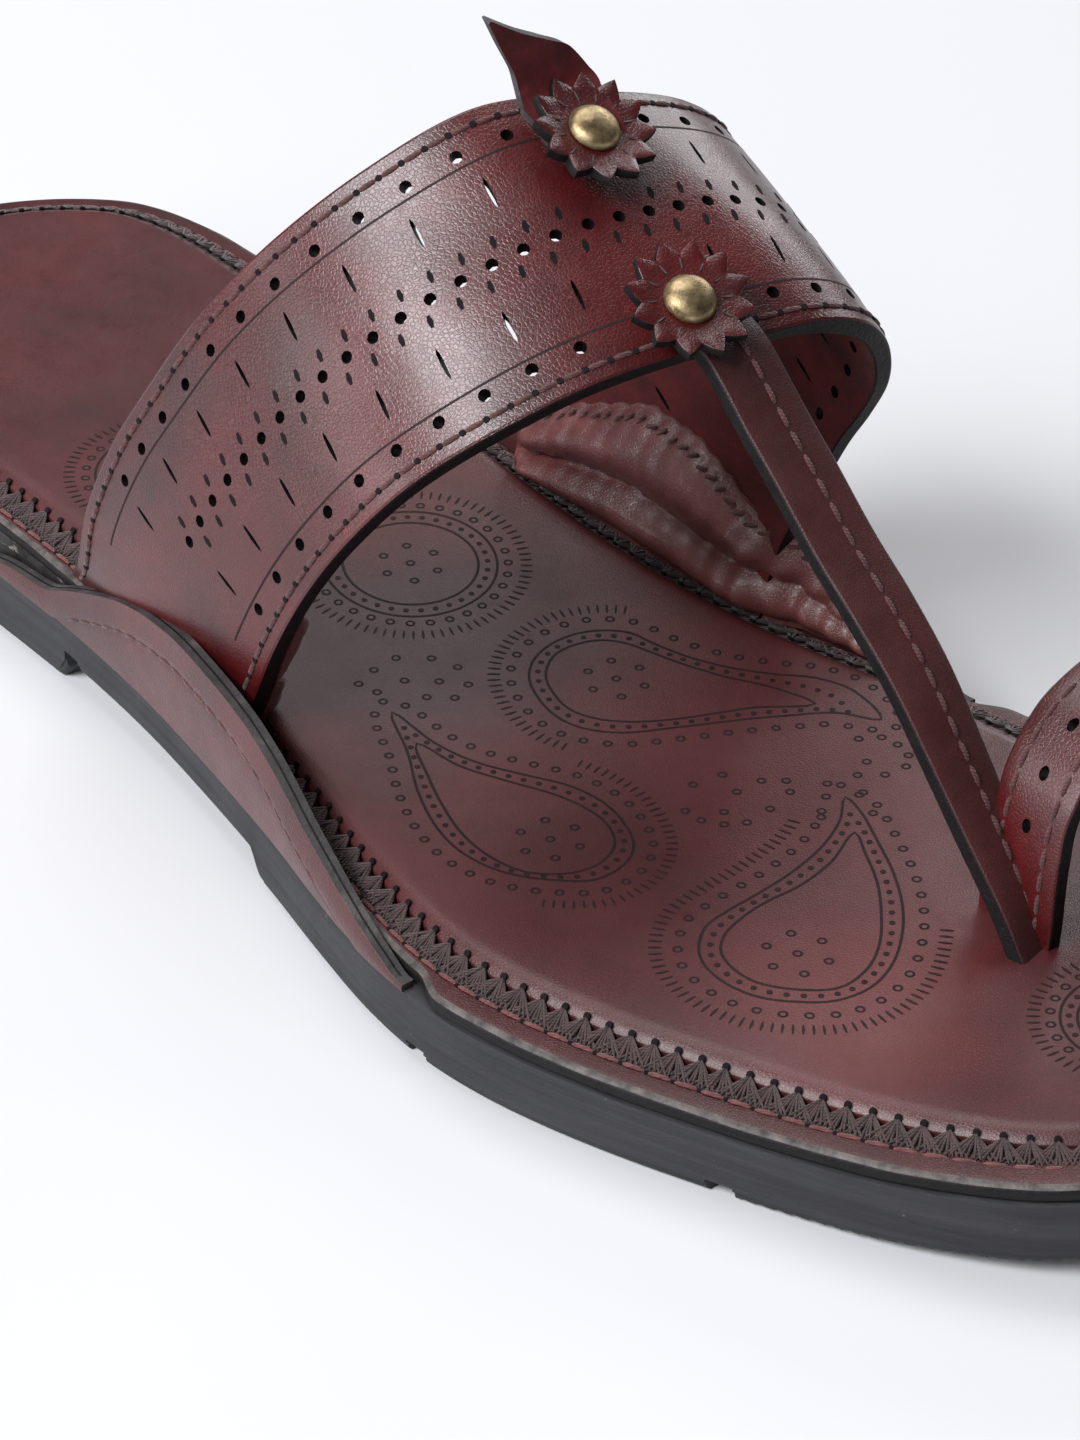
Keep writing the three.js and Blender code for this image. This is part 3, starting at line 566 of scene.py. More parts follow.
def curve_on_pad(xy):
    """Smooth closed plan curve laid on the footbed, with its normals."""
    p = even_loop(smooth(xy, len(xy) * 12, closed=True)[:-1], 1.2)
    return np.column_stack([p, pad_height(p)]), pad_normals(p), True


def pad_normals(p):
    e = 0.4
    zx = (pad_height(p + [e, 0]) - pad_height(p - [e, 0])) / (2 * e)
    zy = (pad_height(p + [0, e]) - pad_height(p - [0, e])) / (2 * e)
    return unit(np.column_stack([-zx, -zy, np.ones(len(p))]))


# ---- materials
def srgb(r, g, b):
    channels = (r / 255, g / 255, b / 255)
    return tuple(c / 12.92 if c <= 0.04045 else ((c + 0.055) / 1.055) ** 2.4 for c in channels) + (1,)


def tone_of(c):
    """Colour socket value of a share of grey, a finished colour, or red, green and blue from 0 to 255."""
    if not isinstance(c, tuple):
        return c, c, c, 1
    return srgb(*c) if len(c) == 3 else c


def shade_of(colour, share, add=0.0):
    return tuple(c * share + add for c in srgb(*colour)[:3]) + (1,)


class Shade:
    """A Principled material built up node by node in object coordinates."""

    def __init__(self, name, **values):
        self.mat = bpy.data.materials.new(name)
        self.mat.use_nodes = True
        self.tree = self.mat.node_tree
        self.tree.nodes.clear()
        self.shader = self.tree.nodes.new("ShaderNodeBsdfPrincipled")
        self.tree.links.new(self.shader.outputs[0], self.tree.nodes.new("ShaderNodeOutputMaterial").inputs[0])
        for k, v in values.items():
            self.shader.inputs[k.replace("_", " ")].default_value = v
        self.where = self.tree.nodes.new("ShaderNodeTexCoord").outputs["Object"]
        self.height = None

    def node(self, kind, inputs, **attributes):
        n = self.tree.nodes.new(kind)
        for k, v in attributes.items():
            setattr(n, k, v)
        for k, v in inputs.items():
            if isinstance(v, bpy.types.NodeSocket):
                self.tree.links.new(v, n.inputs[k])
            else:
                n.inputs[k].default_value = v
        return n

    def stretched(self, x, y, z, turn=(0, 0, 0)):
        return self.node("ShaderNodeMapping", {"Vector": self.where, "Scale": (x, y, z), "Rotation": turn}).outputs[0]

    def noise(self, scale, detail=3, rough=0.5, where=None, distort=0.0):
        return self.node("ShaderNodeTexNoise", {"Vector": where or self.where, "Scale": scale, "Detail": detail,
                                                "Roughness": rough, "Distortion": distort}).outputs["Fac"]

    def cells(self, scale):
        return self.node("ShaderNodeTexVoronoi", {"Vector": self.where, "Scale": scale},
                         feature="DISTANCE_TO_EDGE").outputs["Distance"]

    def ramp(self, fac, stops):
        n = self.node("ShaderNodeValToRGB", {"Fac": fac})
        e = n.color_ramp.elements
        while len(e) < len(stops):
            e.new(0.5)
        for k, (at, c) in enumerate(stops):
            e[k].position = at
            e[k].color = tone_of(c)
        return n.outputs["Color"]

    def mix(self, fac, a, b):
        b = tone_of(b) if isinstance(b, tuple) else b
        return self.node("ShaderNodeMix", {0: fac, 6: a, 7: b}, data_type="RGBA").outputs[2]

    def times(self, a, b):
        return self.node("ShaderNodeMath", {0: a, 1: b}, operation="MULTIPLY").outputs[0]

    def bump(self, height, depth, strength=1.0):
        n = self.node("ShaderNodeBump", {"Height": height, "Distance": depth * MM, "Strength": strength})
        if self.height is not None:
            self.tree.links.new(self.height, n.inputs["Normal"])
        self.height = n.outputs[0]

    def done(self, colour, rough=None):
        for source, socket in ((colour, "Base Color"), (rough, "Roughness"), (self.height, "Normal")):
            if source is not None:
                self.tree.links.new(source, self.shader.inputs[socket])
        return self.mat


def leather(name, light, deep, grain=2500, depth=0.022, rough=(0.34, 0.5), coat=0.12, sheen_streaks=0.1, spots=0.35,
            tint_and_shade_spots=()):
    """Grained leather; tint_and_shade_spots are soft spots of another colour, some of them painted shade: centre and
    radius in mm, colour, strength.
    """
    s = Shade(name, Coat_Weight=coat, Coat_Roughness=0.26, Specular_IOR_Level=0.45)
    broad = s.noise(42, 3, 0.55, distort=0.3)
    fine = s.noise(420, 4, 0.6)
    pores = s.cells(grain)
    tone = s.ramp(broad, [(0.32, deep), (0.68, light)])
    tone = s.mix(s.ramp(fine, [(0.35, 0.0), (0.75, spots)]), tone, shade_of(deep, 0.72))
    crease = s.ramp(pores, [(0.0, 1.0), (0.10, 0.0)])
    tone = s.mix(s.times(crease, 0.42), tone, shade_of(deep, 0.42))
    # lighter streaks across the leather: painted highlight streaks
    streak = s.noise(130, 3, 0.6, where=s.stretched(1, 0.22, 1, (0, 0, 0.5)))
    tone = s.mix(s.times(s.ramp(streak, [(0.5, 0.0), (0.72, 1.0)]), sheen_streaks), tone, shade_of(light, 1.55, 0.004))
    for (x, y, z), radius, colour, share in tint_and_shade_spots:
        place = s.node("ShaderNodeMapping", {"Vector": s.where, "Location": (x * MM, y * MM, z * MM),
                                             "Scale": (radius * MM,) * 3}, vector_type="TEXTURE").outputs[0]
        ball = s.node("ShaderNodeTexGradient", {"Vector": place}, gradient_type="SPHERICAL").outputs["Fac"]
        tone = s.mix(s.ramp(ball, [(0.0, 0.0), (0.75, share)]), tone, colour)
    s.bump(s.ramp(pores, [(0.0, 0.0), (0.22, 1.0)]), depth)
    s.bump(s.noise(330, 3, 0.5), depth, 0.3)
    s.bump(s.noise(4200, 2, 0.5), depth * 0.5, 0.5)
    return s.done(tone, s.ramp(s.noise(180, 4, 0.6), [(0.3, rough[0]), (0.7, rough[1])]))


def plain(name, a, b, scale, rough, depth):
    s = Shade(name, Roughness=rough, Specular_IOR_Level=0.25)
    s.bump(s.noise(2200, 3, 0.6), depth)
    s.bump(s.noise(scale * 2, 3, 0.6), depth)
    return s.done(s.ramp(s.noise(scale, 4, 0.62), [(0.33, a), (0.68, b)]))


def suede():
    s = Shade("suede_burgundy", Roughness=0.85, Sheen_Weight=0.06, Sheen_Roughness=0.5, Specular_IOR_Level=0.2)
    streak = s.noise(210, 4, 0.65, where=s.stretched(1, 0.25, 0.6, (0.2, 0.4, 0.3)))
    tone = s.ramp(streak, [(0.3, (48, 12, 14)), (0.62, (88, 26, 27)), (0.8, (112, 46, 42))])
    s.bump(s.noise(1900, 5, 0.7), 0.12)
    s.bump(streak, 0.18, 0.7)
    return s.done(tone)


def rubber():
    s = Shade("rubber_charcoal", Roughness=0.62)
    streak = s.noise(90, 4, 0.62, where=s.stretched(0.25, 0.25, 6))
    tone = s.ramp(streak, [(0.3, (25, 25, 28)), (0.7, (45, 45, 49))])
    specks = s.ramp(s.noise(700, 3, 0.7), [(0.70, 0.0), (0.78, 1.0)])
    tone = s.mix(s.times(specks, 0.35), tone, (128, 126, 124))
    s.bump(s.noise(330, 4, 0.6, where=s.stretched(0.12, 0.12, 7)), 0.10)
    s.bump(s.noise(1500, 4, 0.7), 0.05)
    return s.done(tone, s.ramp(s.noise(110, 4, 0.6), [(0.3, 0.52), (0.7, 0.74)]))


def glued():
    s = Shade("glue_line", Roughness=0.55)
    tone = s.ramp(s.noise(230, 4, 0.65), [(0.35, (24, 22, 23)), (0.65, (52, 50, 50))])
    specks = s.ramp(s.noise(520, 4, 0.7, where=s.stretched(0.5, 0.5, 1.6)), [(0.60, 0.0), (0.69, 1.0)])
    tone = s.mix(s.times(specks, 0.85), tone, (150, 142, 130))
    s.bump(s.noise(480, 4, 0.7), 0.35)
    return s.done(tone)


def layered():
    """Cut edge of two glued leathers, worn grey."""
    s = Shade("edge_grey", Roughness=0.6)
    tone = s.ramp(s.noise(360, 4, 0.65, where=s.stretched(0.5, 0.5, 1)),
                  [(0.3, (30, 27, 28)), (0.55, (54, 50, 51)), (0.78, (92, 86, 84))])
    s.bump(s.noise(900, 4, 0.7), 0.16)
    return s.done(tone)


def brass():
    s = Shade("brass_satin", Metallic=1.0)
    patches = s.noise(420, 4, 0.62)
    tone = s.ramp(patches, [(0.3, (96, 80, 58)), (0.55, (162, 142, 108)), (0.8, (204, 186, 150))])
    s.bump(s.noise(1300, 4, 0.7), 0.05)
    return s.done(tone, s.ramp(s.noise(800, 3, 0.6), [(0.3, 0.34), (0.7, 0.52)]))


def yarn(name, a, b):
    s = Shade(name, Roughness=0.75, Sheen_Weight=0.2)
    twist = s.node("ShaderNodeTexWave", {"Vector": s.where, "Scale": 900, "Distortion": 2.0, "Detail": 1},
                   wave_type="BANDS", bands_direction="DIAGONAL").outputs["Fac"]
    tone = s.mix(s.times(twist, 0.55), s.ramp(s.noise(700, 3, 0.6), [(0.3, a), (0.7, b)]), shade_of(a, 0.45))
    s.bump(twist, 0.06)
    s.bump(s.noise(5200, 2, 0.5), 0.03)
    return s.done(tone)


BAND_LEATHER = leather("leather_burgundy", (84, 18, 20), (50, 9, 11), grain=1800, depth=0.024,
                       rough=(0.30, 0.40), coat=0.3)
# footbed leather: its first spot, dark and bluish, is painted shade, the band's shadow and reflection; the other two
# are deep red and lighter red spots
FOOT_LEATHER = leather("leather_footbed", (80, 29, 30), (56, 16, 19), grain=2300, depth=0.02, coat=0.14,
                       rough=(0.38, 0.52), sheen_streaks=0.08, spots=0.3,
                       tint_and_shade_spots=[((-8, -2, 30), 30, (46, 28, 33), 0.7), ((8, -46, 28), 30, (66, 12, 15), 0.75),
                              ((-14, -88, 26), 26, (104, 34, 34), 0.6)])
RIM_LEATHER = leather("leather_rim", (76, 24, 26), (50, 14, 16), coat=0.08)
STRAP_LEATHER = leather("leather_strap", (76, 34, 34), (54, 20, 21), coat=0.05, rough=(0.42, 0.6))
# lining: its strong lighter streaks are painted highlights
LINING = leather("leather_lining", (122, 72, 69), (78, 38, 38), grain=1900, depth=0.03,
                 rough=(0.34, 0.46), coat=0.25, sheen_streaks=0.3)
SUEDE = suede()
RUBBER = rubber()
GLUE = glued()
EDGE_DARK = plain("edge_black", (6, 5, 6), (18, 14, 15), 420, 0.55, 0.10)
EDGE_GREY = layered()
BEVEL_PALE = plain("bevel_grey", (48, 42, 42), (96, 89, 87), 500, 0.5, 0.06)
# dark discs for stitch holes, prick marks and dashes: painted shade inside the holes
HOLE_SHADE = plain("hole_shade", (8, 4, 5), (18, 9, 10), 600, 0.9, 0.02)
BURNT = plain("burnt_line", (20, 9, 10), (36, 18, 18), 800, 0.7, 0.02)
THREAD_DARK = yarn("thread_dark", (42, 24, 24), (72, 46, 44))
THREAD_CORD = yarn("thread_cord", (84, 34, 35), (112, 56, 54))
THREAD_SEAM = yarn("thread_seam", (56, 22, 24), (94, 46, 44))
BRASS = brass()


def piece(obj, nodes):
    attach(obj, "root")
    if nodes:
        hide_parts(*nodes)


# ---- camera
def look(obj, target):
    obj.rotation_mode = "QUATERNION"
    obj.rotation_quaternion = (Vector(target) - obj.location).to_track_quat("-Z", "Y")


camera = bpy.data.cameras.new("camera")
camera.sensor_fit, camera.sensor_width, camera.lens = "AUTO", 36, 108.75
camera.clip_start, camera.clip_end = 0.02, 20
cam = bpy.data.objects.new("camera", camera)
scene.collection.objects.link(cam)
cam.location = (-0.29734, -0.38002, 0.34525)
look(cam, (-0.00182, -0.01509, 0.0103))
scene.camera = cam

# ---- outsole
Y = PLAN[:, 1]
N = len(PLAN)
top_y, low_y = wall_top(Y), bottom_at(Y)
foot_y = np.minimum(low_y + TREAD, top_y - 2)


def level(d, z):
    q = inset(PLAN, d)
    return np.column_stack([q, z])


def toothed(amount):
    """Fine saw teeth along the tread's edge, only round the forefoot."""
    return amount * soft((-92 - Y) / 6) * (np.arange(N) % 3 == 0)


RIBS = 11
levels = [level(6.5, top_y - 0.02), level(1.6, top_y), level(0.5, top_y), level(0.12, top_y - 0.16),
          level(0.0, top_y - 0.55)]
for k in range(1, RIBS):
    share = k / RIBS
    levels.append(level(0.11 if k % 2 else 0.0, (top_y - 0.7) * (1 - share) + (foot_y + 0.1) * share))
levels += [level(0.02, foot_y + 0.1), level(0.35, foot_y - 0.1), level(0.42, (foot_y + low_y) / 2),
           level(0.55 + toothed(0.5), low_y + 0.5 + toothed(0.5)), level(1.1 + toothed(0.9), low_y + toothed(0.55)),
           level(2.6, low_y), level(6.5, low_y)]
wall = ring("wall", np.stack(levels, 1), [RUBBER], closed=True, angle=50)


def to_centre(loop, share):
    return CENTRE + (loop - CENTRE) * share


def at_centre(z, count=N):
    return np.repeat([[*CENTRE, float(z)]], count, 0)


def filled(loop, top, under, name, mats):
    """Plate whose loops close in on the middle of the shoe; top and under give its heights at y."""
    shares = (1, 0.86, 0.66, 0.45, 0.24, 0.08)
    rows = [np.column_stack([q, top(q[:, 1])]) for q in (to_centre(loop, f) for f in shares[::-1])]
    rows += [np.column_stack([q, under(q[:, 1])]) for q in (to_centre(loop, f) for f in shares)]
    return ring(name, np.stack([at_centre(top(CENTRE[1]))] + rows + [at_centre(under(CENTRE[1]))], 1), mats)


bed = filled(inset(PLAN, 2.4), lambda y: wall_top(y) - 0.6, lambda y: bottom_at(y) + 0.05, "bed", [RUBBER])
notches = []
for s in NOTCHES:
    y = HEEL_Y - s * LENGTH
    base = (ARCH if s < 0.4 else 0) + float(spring_at(y))
    for x in edges_at(PLAN, y):
        deselect()
        bpy.ops.mesh.primitive_cube_add(size=1, location=(float(x) * MM, y * MM, base * MM), scale=NOTCH_SIZE)
        bpy.ops.object.transform_apply()
        notches.append(bpy.context.object)
cut = join("notches", notches)
paint(cut, [RUBBER])


def carve(obj, cutter):
    use(obj, "BOOLEAN", operation="DIFFERENCE", object=cutter, solver="EXACT")


carve(wall, cut)
carve(bed, cut)
bpy.data.objects.remove(cut)
core_room = CORE_INSET + FLAP_ROOM
core_top = rim_top(Y) - BOARD - 0.05
core = [level(core_room + d, z) for d, z in (
    (8, core_top), (0.3, core_top), (0.0, core_top - 0.2), (0.05, (core_top + top_y) / 2), (0.0, top_y - 0.8),
    (8, top_y - 0.8))]
glue_line = ring("glue_line", np.stack(core, 1), [GLUE], closed=True)
sole = join("outsole_rubber", [wall, bed])
tidy(sole, angle=38)
for part in (sole, glue_line):
    piece(part, ["outsole"])

# ---- leather board, the rim round the footbed
board_loop = 0.15 + FLAP_ROOM
rim_y = rim_top(Y)
wobble = 0.10 * np.sin(np.arange(N) * 0.19) + 0.07 * np.sin(np.arange(N) * 0.47 + 1)
# inset from the board's edge and height from the rim's top
rows = [level(board_loop + d, rim_y + z) for d, z in (
    (9.6, 0.0), (8.4, 0.0), (6.0, 0.02), (3.4, 0.06), (1.6, 0.05), (0.95, 0.0), (0.55 + wobble * 0.4, -0.10),
    (0.16 + wobble * 0.5, -0.42), (0.02, -0.75), (wobble * 0.6, -1.2), (0.05, -1.75), (0.3, -2.1), (8.4, -2.1),
    (9.6, -2.1))]
rim = ring("rim_leather", np.stack(rows, 1), [RIM_LEATHER, BEVEL_PALE, EDGE_DARK], which=[0] * 5 + [1] * 2 + [2] * 7,
           closed=True, angle=60)
inner = filled(inset(PLAN, 12), lambda y: rim_top(y) - 0.1, lambda y: rim_top(y) - BOARD + 0.1, "inner", [RIM_LEATHER])
piece(join("board_rim", [rim, inner]), ["footbed_board"])

# ---- cushioned footbed
shares = [0.97, 0.94] + [round(0.94 * (1 - k / 26), 4) for k in range(1, 26)] + [0.015]
loops = [inset(PAD_LOOP, d, 9) for d in (0, 0.12, 0.35, 0.7, 1.15, 1.7, 2.4, 3.2)]
loops += [to_centre(inset(PAD_LOOP, 4.4, 9), f) for f in shares]
top_rows = [np.column_stack([q, pad_shape(q)]) for q in loops]
under_in = inset(PAD_LOOP, 2, 9)
under = [PAD_LOOP, under_in]
under += [to_centre(under_in, f) for f in (0.93, 0.86, 0.78, 0.7, 0.61, 0.52, 0.43, 0.34, 0.25, 0.16, 0.08, 0.015)]
edge = [np.column_stack([loops[0], rim_top(loops[0][:, 1]) + 0.45])]
low_rows = [np.column_stack([q, rim_top(y) + 0.12]) for q, y in zip(under, [Y] + [q[:, 1] for q in under[1:]])]
tip, low_tip = at_centre(pad_shape(CENTRE)[0]), at_centre(rim_top(CENTRE[1]) + 0.12)
pad = ring("footbed", np.stack([tip] + top_rows[::-1] + edge + low_rows + [low_tip], 1), [FOOT_LEATHER], angle=70)
piece(pad, ["footbed_pad"])
pad_tree = BVHTree.FromPolygons([v.co.copy() for v in pad.data.vertices],
                                [tuple(p.vertices) for p in pad.data.polygons])


def pad_height(xy):
    """Height of the finished footbed."""
    out = []
    for x, y in np.atleast_2d(xy):
        hit = pad_tree.ray_cast(Vector((x * MM, y * MM, 0.2)), Vector((0, 0, -1)))[0]
        out.append(hit.z / MM if hit else float(rim_top(y)) + 0.2)
    return np.array(out)


# ---- thread work round the footbed
def on_rim(d, z):
    q = inset(PLAN, d)
    return np.column_stack([q, rim_top(q[:, 1]) + z])


flat = np.repeat([[0.0, 0.0, 1.0]], N, 0)
outward = unit(unit(np.column_stack([PLAN - inset(PLAN, 1.0), np.zeros(N)])) * 0.8 + flat * 0.6)
# the footbed's edge holes are dark discs, not cut: painted shade in the stitch holes
deselect()
bpy.ops.mesh.primitive_cylinder_add(vertices=8, radius=0.5, depth=1)
model = bpy.context.object
edit(model)
bpy.ops.mesh.bevel(offset=0.18, segments=1)
bpy.ops.object.mode_set(mode="OBJECT")
lay(model, coords(model) * np.array([1.0, 1.15, 0.4]) * MM)
holes = along(on_rim(PAD_INSET + 0.25, PAD_RISE * 0.72), outward, HOLE_PITCH, closed=True, off=-0.02)
piece(scatter("edge_holes", model, holes, [HOLE_SHADE]), [])

# zigzag thread: a fan of strands from each hole to the outer line
inner_line, outer_line = wrap(on_rim(PAD_INSET + 0.2, 1.55)), wrap(on_rim(4.1, 0.26))
arc = arc_of(inner_line)
on_line = lambda run, line: np.array([np.interp(run, arc, line[:, c]) for c in range(3)])
rng = np.random.default_rng(7)
strands = []
for k in range(len(holes)):
    run = arc[-1] * k / len(holes)
    a = on_line(run, inner_line)
    for lean in (-0.95, -0.72, -0.5, -0.28, -0.08, 0.12, 0.34, 0.55, 0.78, 1.0):
        b = on_line((run + lean * HOLE_PITCH + rng.uniform(-0.2, 0.2)) % arc[-1], outer_line)
        mid = (a + b) / 2 + [0, 0, 0.10 + rng.uniform(-0.06, 0.2)]
        size = np.linalg.norm(b - a)
        x = (b - a) / size
        y = unit(np.cross([0, 0, 1.0], x))
        strands.append((mid, x * size * 1.02, y, np.cross(x, y)))
piece(scatter("zigzag_thread", thread_model(1.0, 0.36, 0.34, sides=5), strands, [THREAD_DARK]), [])

bed_rows = [on_rim(d, z) for d, z in ((7.0, 0.12), (6.6, 0.62), (5.6, 0.40), (4.5, 0.28), (4.0, 0.10), (4.0, 0.02),
                                      (7.0, 0.02))]
piece(ring("thread_bed", np.stack(bed_rows, 1), [THREAD_DARK], closed=True), [])
cord_line = on_rim(3.85, 0.05)
cord = along(cord_line, flat, CORD_PITCH, closed=True, off=0.22, skew=0.05)
piece(scatter("cord_stitches", thread_model(2.9, 0.6, 0.5, bend=0.12), cord, [THREAD_CORD]), [])
# dark dots between the cord stitches: painted shade in the prick holes
dots = along(cord_line, flat, CORD_PITCH, closed=True, off=0.06)
step = arc_of(wrap(cord_line))[-1] / len(dots) / 2
dots = [(o + x * step, x, y, z) for o, x, y, z in dots]
piece(scatter("cord_pricks", disc_model(0.32, 0.32, 8, 0.2), dots, [HOLE_SHADE]), [])

# ---- worked lines and dots on the footbed
LEFT_DROP = [
    (-20.3, -7.1), (-23.9, -15.2), (-28.0, -22.8), (-30.6, -30.4), (-31.0, -36.0), (-29.3, -42.2), (-25.1, -47.6),
    (-21.3, -50.3), (-16.3, -50.0), (-13.0, -47.7), (-11.1, -43.7), (-10.3, -38.7), (-11.4, -33.4), (-14.8, -27.4),
    (-17.9, -21.8), (-19.7, -15.6)]
LEFT_HEART = [
    (-21.7, -14.2), (-24.9, -20.9), (-27.1, -26.7), (-28.7, -33.0), (-28.7, -38.9), (-27.2, -43.7), (-22.9, -47.4),
    (-18.7, -48.0), (-14.9, -46.2), (-13.0, -42.7), (-12.8, -38.4), (-14.2, -33.4), (-17.3, -27.2), (-20.1, -21.2)]
FRONT_DROP = [
    (14.5, -57.0), (13.9, -60.5), (11.4, -66.4), (8.4, -72.7), (4.7, -78.3), (0.7, -82.5), (-4.1, -85.9),
    (-9.1, -87.5), (-14.1, -86.8), (-17.8, -84.2), (-21.0, -80.4), (-22.3, -75.8), (-21.9, -71.5), (-20.3, -68.7),
    (-16.9, -66.1), (-12.6, -65.4), (-7.6, -65.1), (-0.7, -64.3), (5.6, -62.7), (10.7, -60.2)]
FRONT_HEART = [
    (10.4, -63.3), (8.5, -67.3), (5.6, -72.7), (1.5, -77.9), (-2.6, -82.0), (-7.0, -84.6), (-12.0, -85.2),
    (-15.8, -82.8), (-19.2, -78.3), (-19.7, -74.3), (-18.7, -71.0), (-16.2, -68.8), (-12.5, -67.6), (-7.9, -67.0),
    (-2.5, -67.1), (4.1, -65.9)]
RIGHT_DROP = [
    (29.5, -47.5), (26.0, -42.5), (20.5, -38.9), (14.7, -35.7), (10.2, -33.4), (5.8, -31.1), (1.9, -29.0),
    (-1.3, -26.1), (-3.0, -23.1), (-3.5, -19.4), (-2.5, -14.7), (-0.8, -11.5), (2.1, -9.1), (5.9, -7.9), (10.0, -8.1),
    (13.2, -9.5), (16.0, -12.2), (17.1, -16.1), (19.0, -21.5), (21.8, -26.6), (25.3, -31.1), (29.0, -35.1),
    (31.0, -40.3)]
RIGHT_HEART = [
    (25.2, -39.3), (18.2, -34.9), (13.0, -32.6), (8.0, -30.2), (3.4, -27.2), (0.4, -24.1), (-1.1, -20.7),
    (-0.8, -17.0), (1.0, -12.8), (4.9, -10.0), (8.5, -9.9), (11.8, -11.1), (14.1, -13.6), (15.3, -16.5),
    (17.0, -21.2), (19.8, -27.4), (23.0, -32.8)]


def circle(c, r, n=24):
    a = 2 * np.pi * np.arange(n) / n
    return np.column_stack([c[0] + r * np.cos(a), c[1] + r * np.sin(a)])


def middle(a, b):
    """Curve half way between two worked lines."""
    p, q = smooth(a, 160, True)[:-1], smooth(b, 160, True)[:-1]
    k = np.linalg.norm(p[:, None] - q[None], axis=-1).argmin(1)
    return ((p + q[k]) / 2)[::4]


def grown(a, d):
    return inset(even(smooth(a, 240, True), 1.5)[:-1], -d, 3)


lines, ringed, small, ticks = [], [], [], []


def stamp(xy, store):
    z, n = pad_height(xy), pad_normals(xy)
    for k in range(len(xy)):
        x = unit(np.cross([0, 1.0, 0], n[k]))
        store.append((np.array([*xy[k], z[k]]), x, np.cross(n[k], x), n[k]))


def ticks_round(points, pitch, length, keep=lambda p: True):
    p = even_loop(points, pitch)
    t = unit(np.roll(p, -1, 0) - np.roll(p, 1, 0))
    z, n = pad_height(p), pad_normals(p)
    for k in range(len(p)):
        if keep(p[k]):
            side = unit(np.cross(n[k], [*t[k], 0]))
            ticks.append((np.array([*p[k], z[k]]), side * length, np.cross(n[k], side), n[k]))


# outer and inner line, middle of the dots, growth and pitch of the rings, growth, length and reach of the ticks
for outer, inner, c, ring_at, ring_pitch, tick_at, tick_long, keep in (
        (LEFT_DROP, LEFT_HEART, (-20.6, -40.3), 2.5, 3.0, 4.9, 1.8, lambda p: p[1] < -30 and p[0] > -30),
        (FRONT_DROP, FRONT_HEART, (-11.6, -77.1), 2.6, 3.2, 5.4, 2.0, lambda p: p[0] < 6),
        (RIGHT_DROP, RIGHT_HEART, (8.1, -18.9), 2.5, 3.2, 4.7, 2.0, lambda p: p[1] > -27 and p[0] < 19)):
    lines += [curve_on_pad(outer), curve_on_pad(inner)]
    stamp(even_loop(even_loop(middle(outer, inner), 1.0), 2.1), small)
    stamp(np.vstack([circle(c, 4.0, 6), c]), ringed)
    stamp(even_loop(grown(outer, ring_at), ring_pitch), ringed)
    ticks_round(grown(outer, tick_at), 1.25, tick_long, keep)
for c, g in (((1.7, 17.4), 1.0), ((-12.0, 54.0), 0.92), ((11.0, -113.0), 0.8)):
    lines += [curve_on_pad(circle(c, r * g)) for r in (9.3, 11.9)]
    stamp(even_loop(circle(c, 10.6 * g, 60), 2.0), small)
    stamp(even_loop(circle(c, 13.4 * g, 60), 2.7), ringed)
    ticks_round(circle(c, 15.9 * g, 90), 1.3, 1.9)
    stamp(np.vstack([circle(c, 4.0 * g, 6), c]), ringed)
FLOWERS = [
    (-14.8, -2.7), (-12.7, 1.9), (-8.9, -0.9), (-16.7, 1.5), (-7.3, -4.5), (-20.2, 0.2), (-11.2, -5.5), (-8.5, -8.3),
    (-19.3, -2.6), (-14.6, -7.2), (-11.7, -9.5), (4.5, -47.4), (5.4, -43.5), (8.5, -47.6), (1.2, -53.1),
    (-1.3, -51.6), (-3.0, -49.1), (-3.3, -46.3), (1.1, -42.7), (11.0, -49.6), (9.8, -51.7), (5.4, -52.8),
    (0.4, -49.6), (24.4, -48.7), (26.9, -50.4), (27.4, -52.9), (26.9, -55.5), (25.0, -57.1), (21.7, -56.7),
    (21.8, -53.1), (18.9, -54.5), (14.7, -53.4), (16.2, -57.8), (9.3, -58.2), (14.9, -61.8)]
stamp(np.array(FLOWERS), ringed)
deselect()
bpy.ops.mesh.primitive_torus_add(major_segments=10, minor_segments=4, major_radius=0.52 * MM, minor_radius=0.19 * MM)
model = bpy.context.object
lay(model, coords(model) * np.array([1, 1, 0.5]))
sunk = lambda places: [(o - n * 0.05, x, y, n) for o, x, y, n in places]
work = [tube_strip("worked", lines, [BURNT], half=0.24, high=0.03, low=0.3),
        scatter("ringed", model, ringed, [BURNT]),
        scatter("small", disc_model(0.42, 0.42, 8, 0.2), sunk(small), [BURNT]),
        scatter("ticks", disc_model(0.5, 0.19, 6, 0.2), sunk(ticks), [BURNT])]
piece(join("footbed_pattern", work), [])

# ---- band over the instep
A, F = np.meshgrid(np.linspace(0, BAND_LEN, 250), np.linspace(0, 1, 52), indexing="ij")
band_piece = slab("upper_leather", band(A, F)[0], band(A, F, -BAND_T)[0], [BAND_LEATHER, EDGE_DARK, SUEDE], bevel=0.45)
FRONT_AT = band_place(0.1 * HALF, HEEL_Y - 0.618 * LENGTH)
REAR_AT = band_place(0.15 * HALF, HEEL_Y - 0.5415 * LENGTH)
BAND_END, CENTRE_START, CENTRE_PITCH = 181, 27.7, 4.25


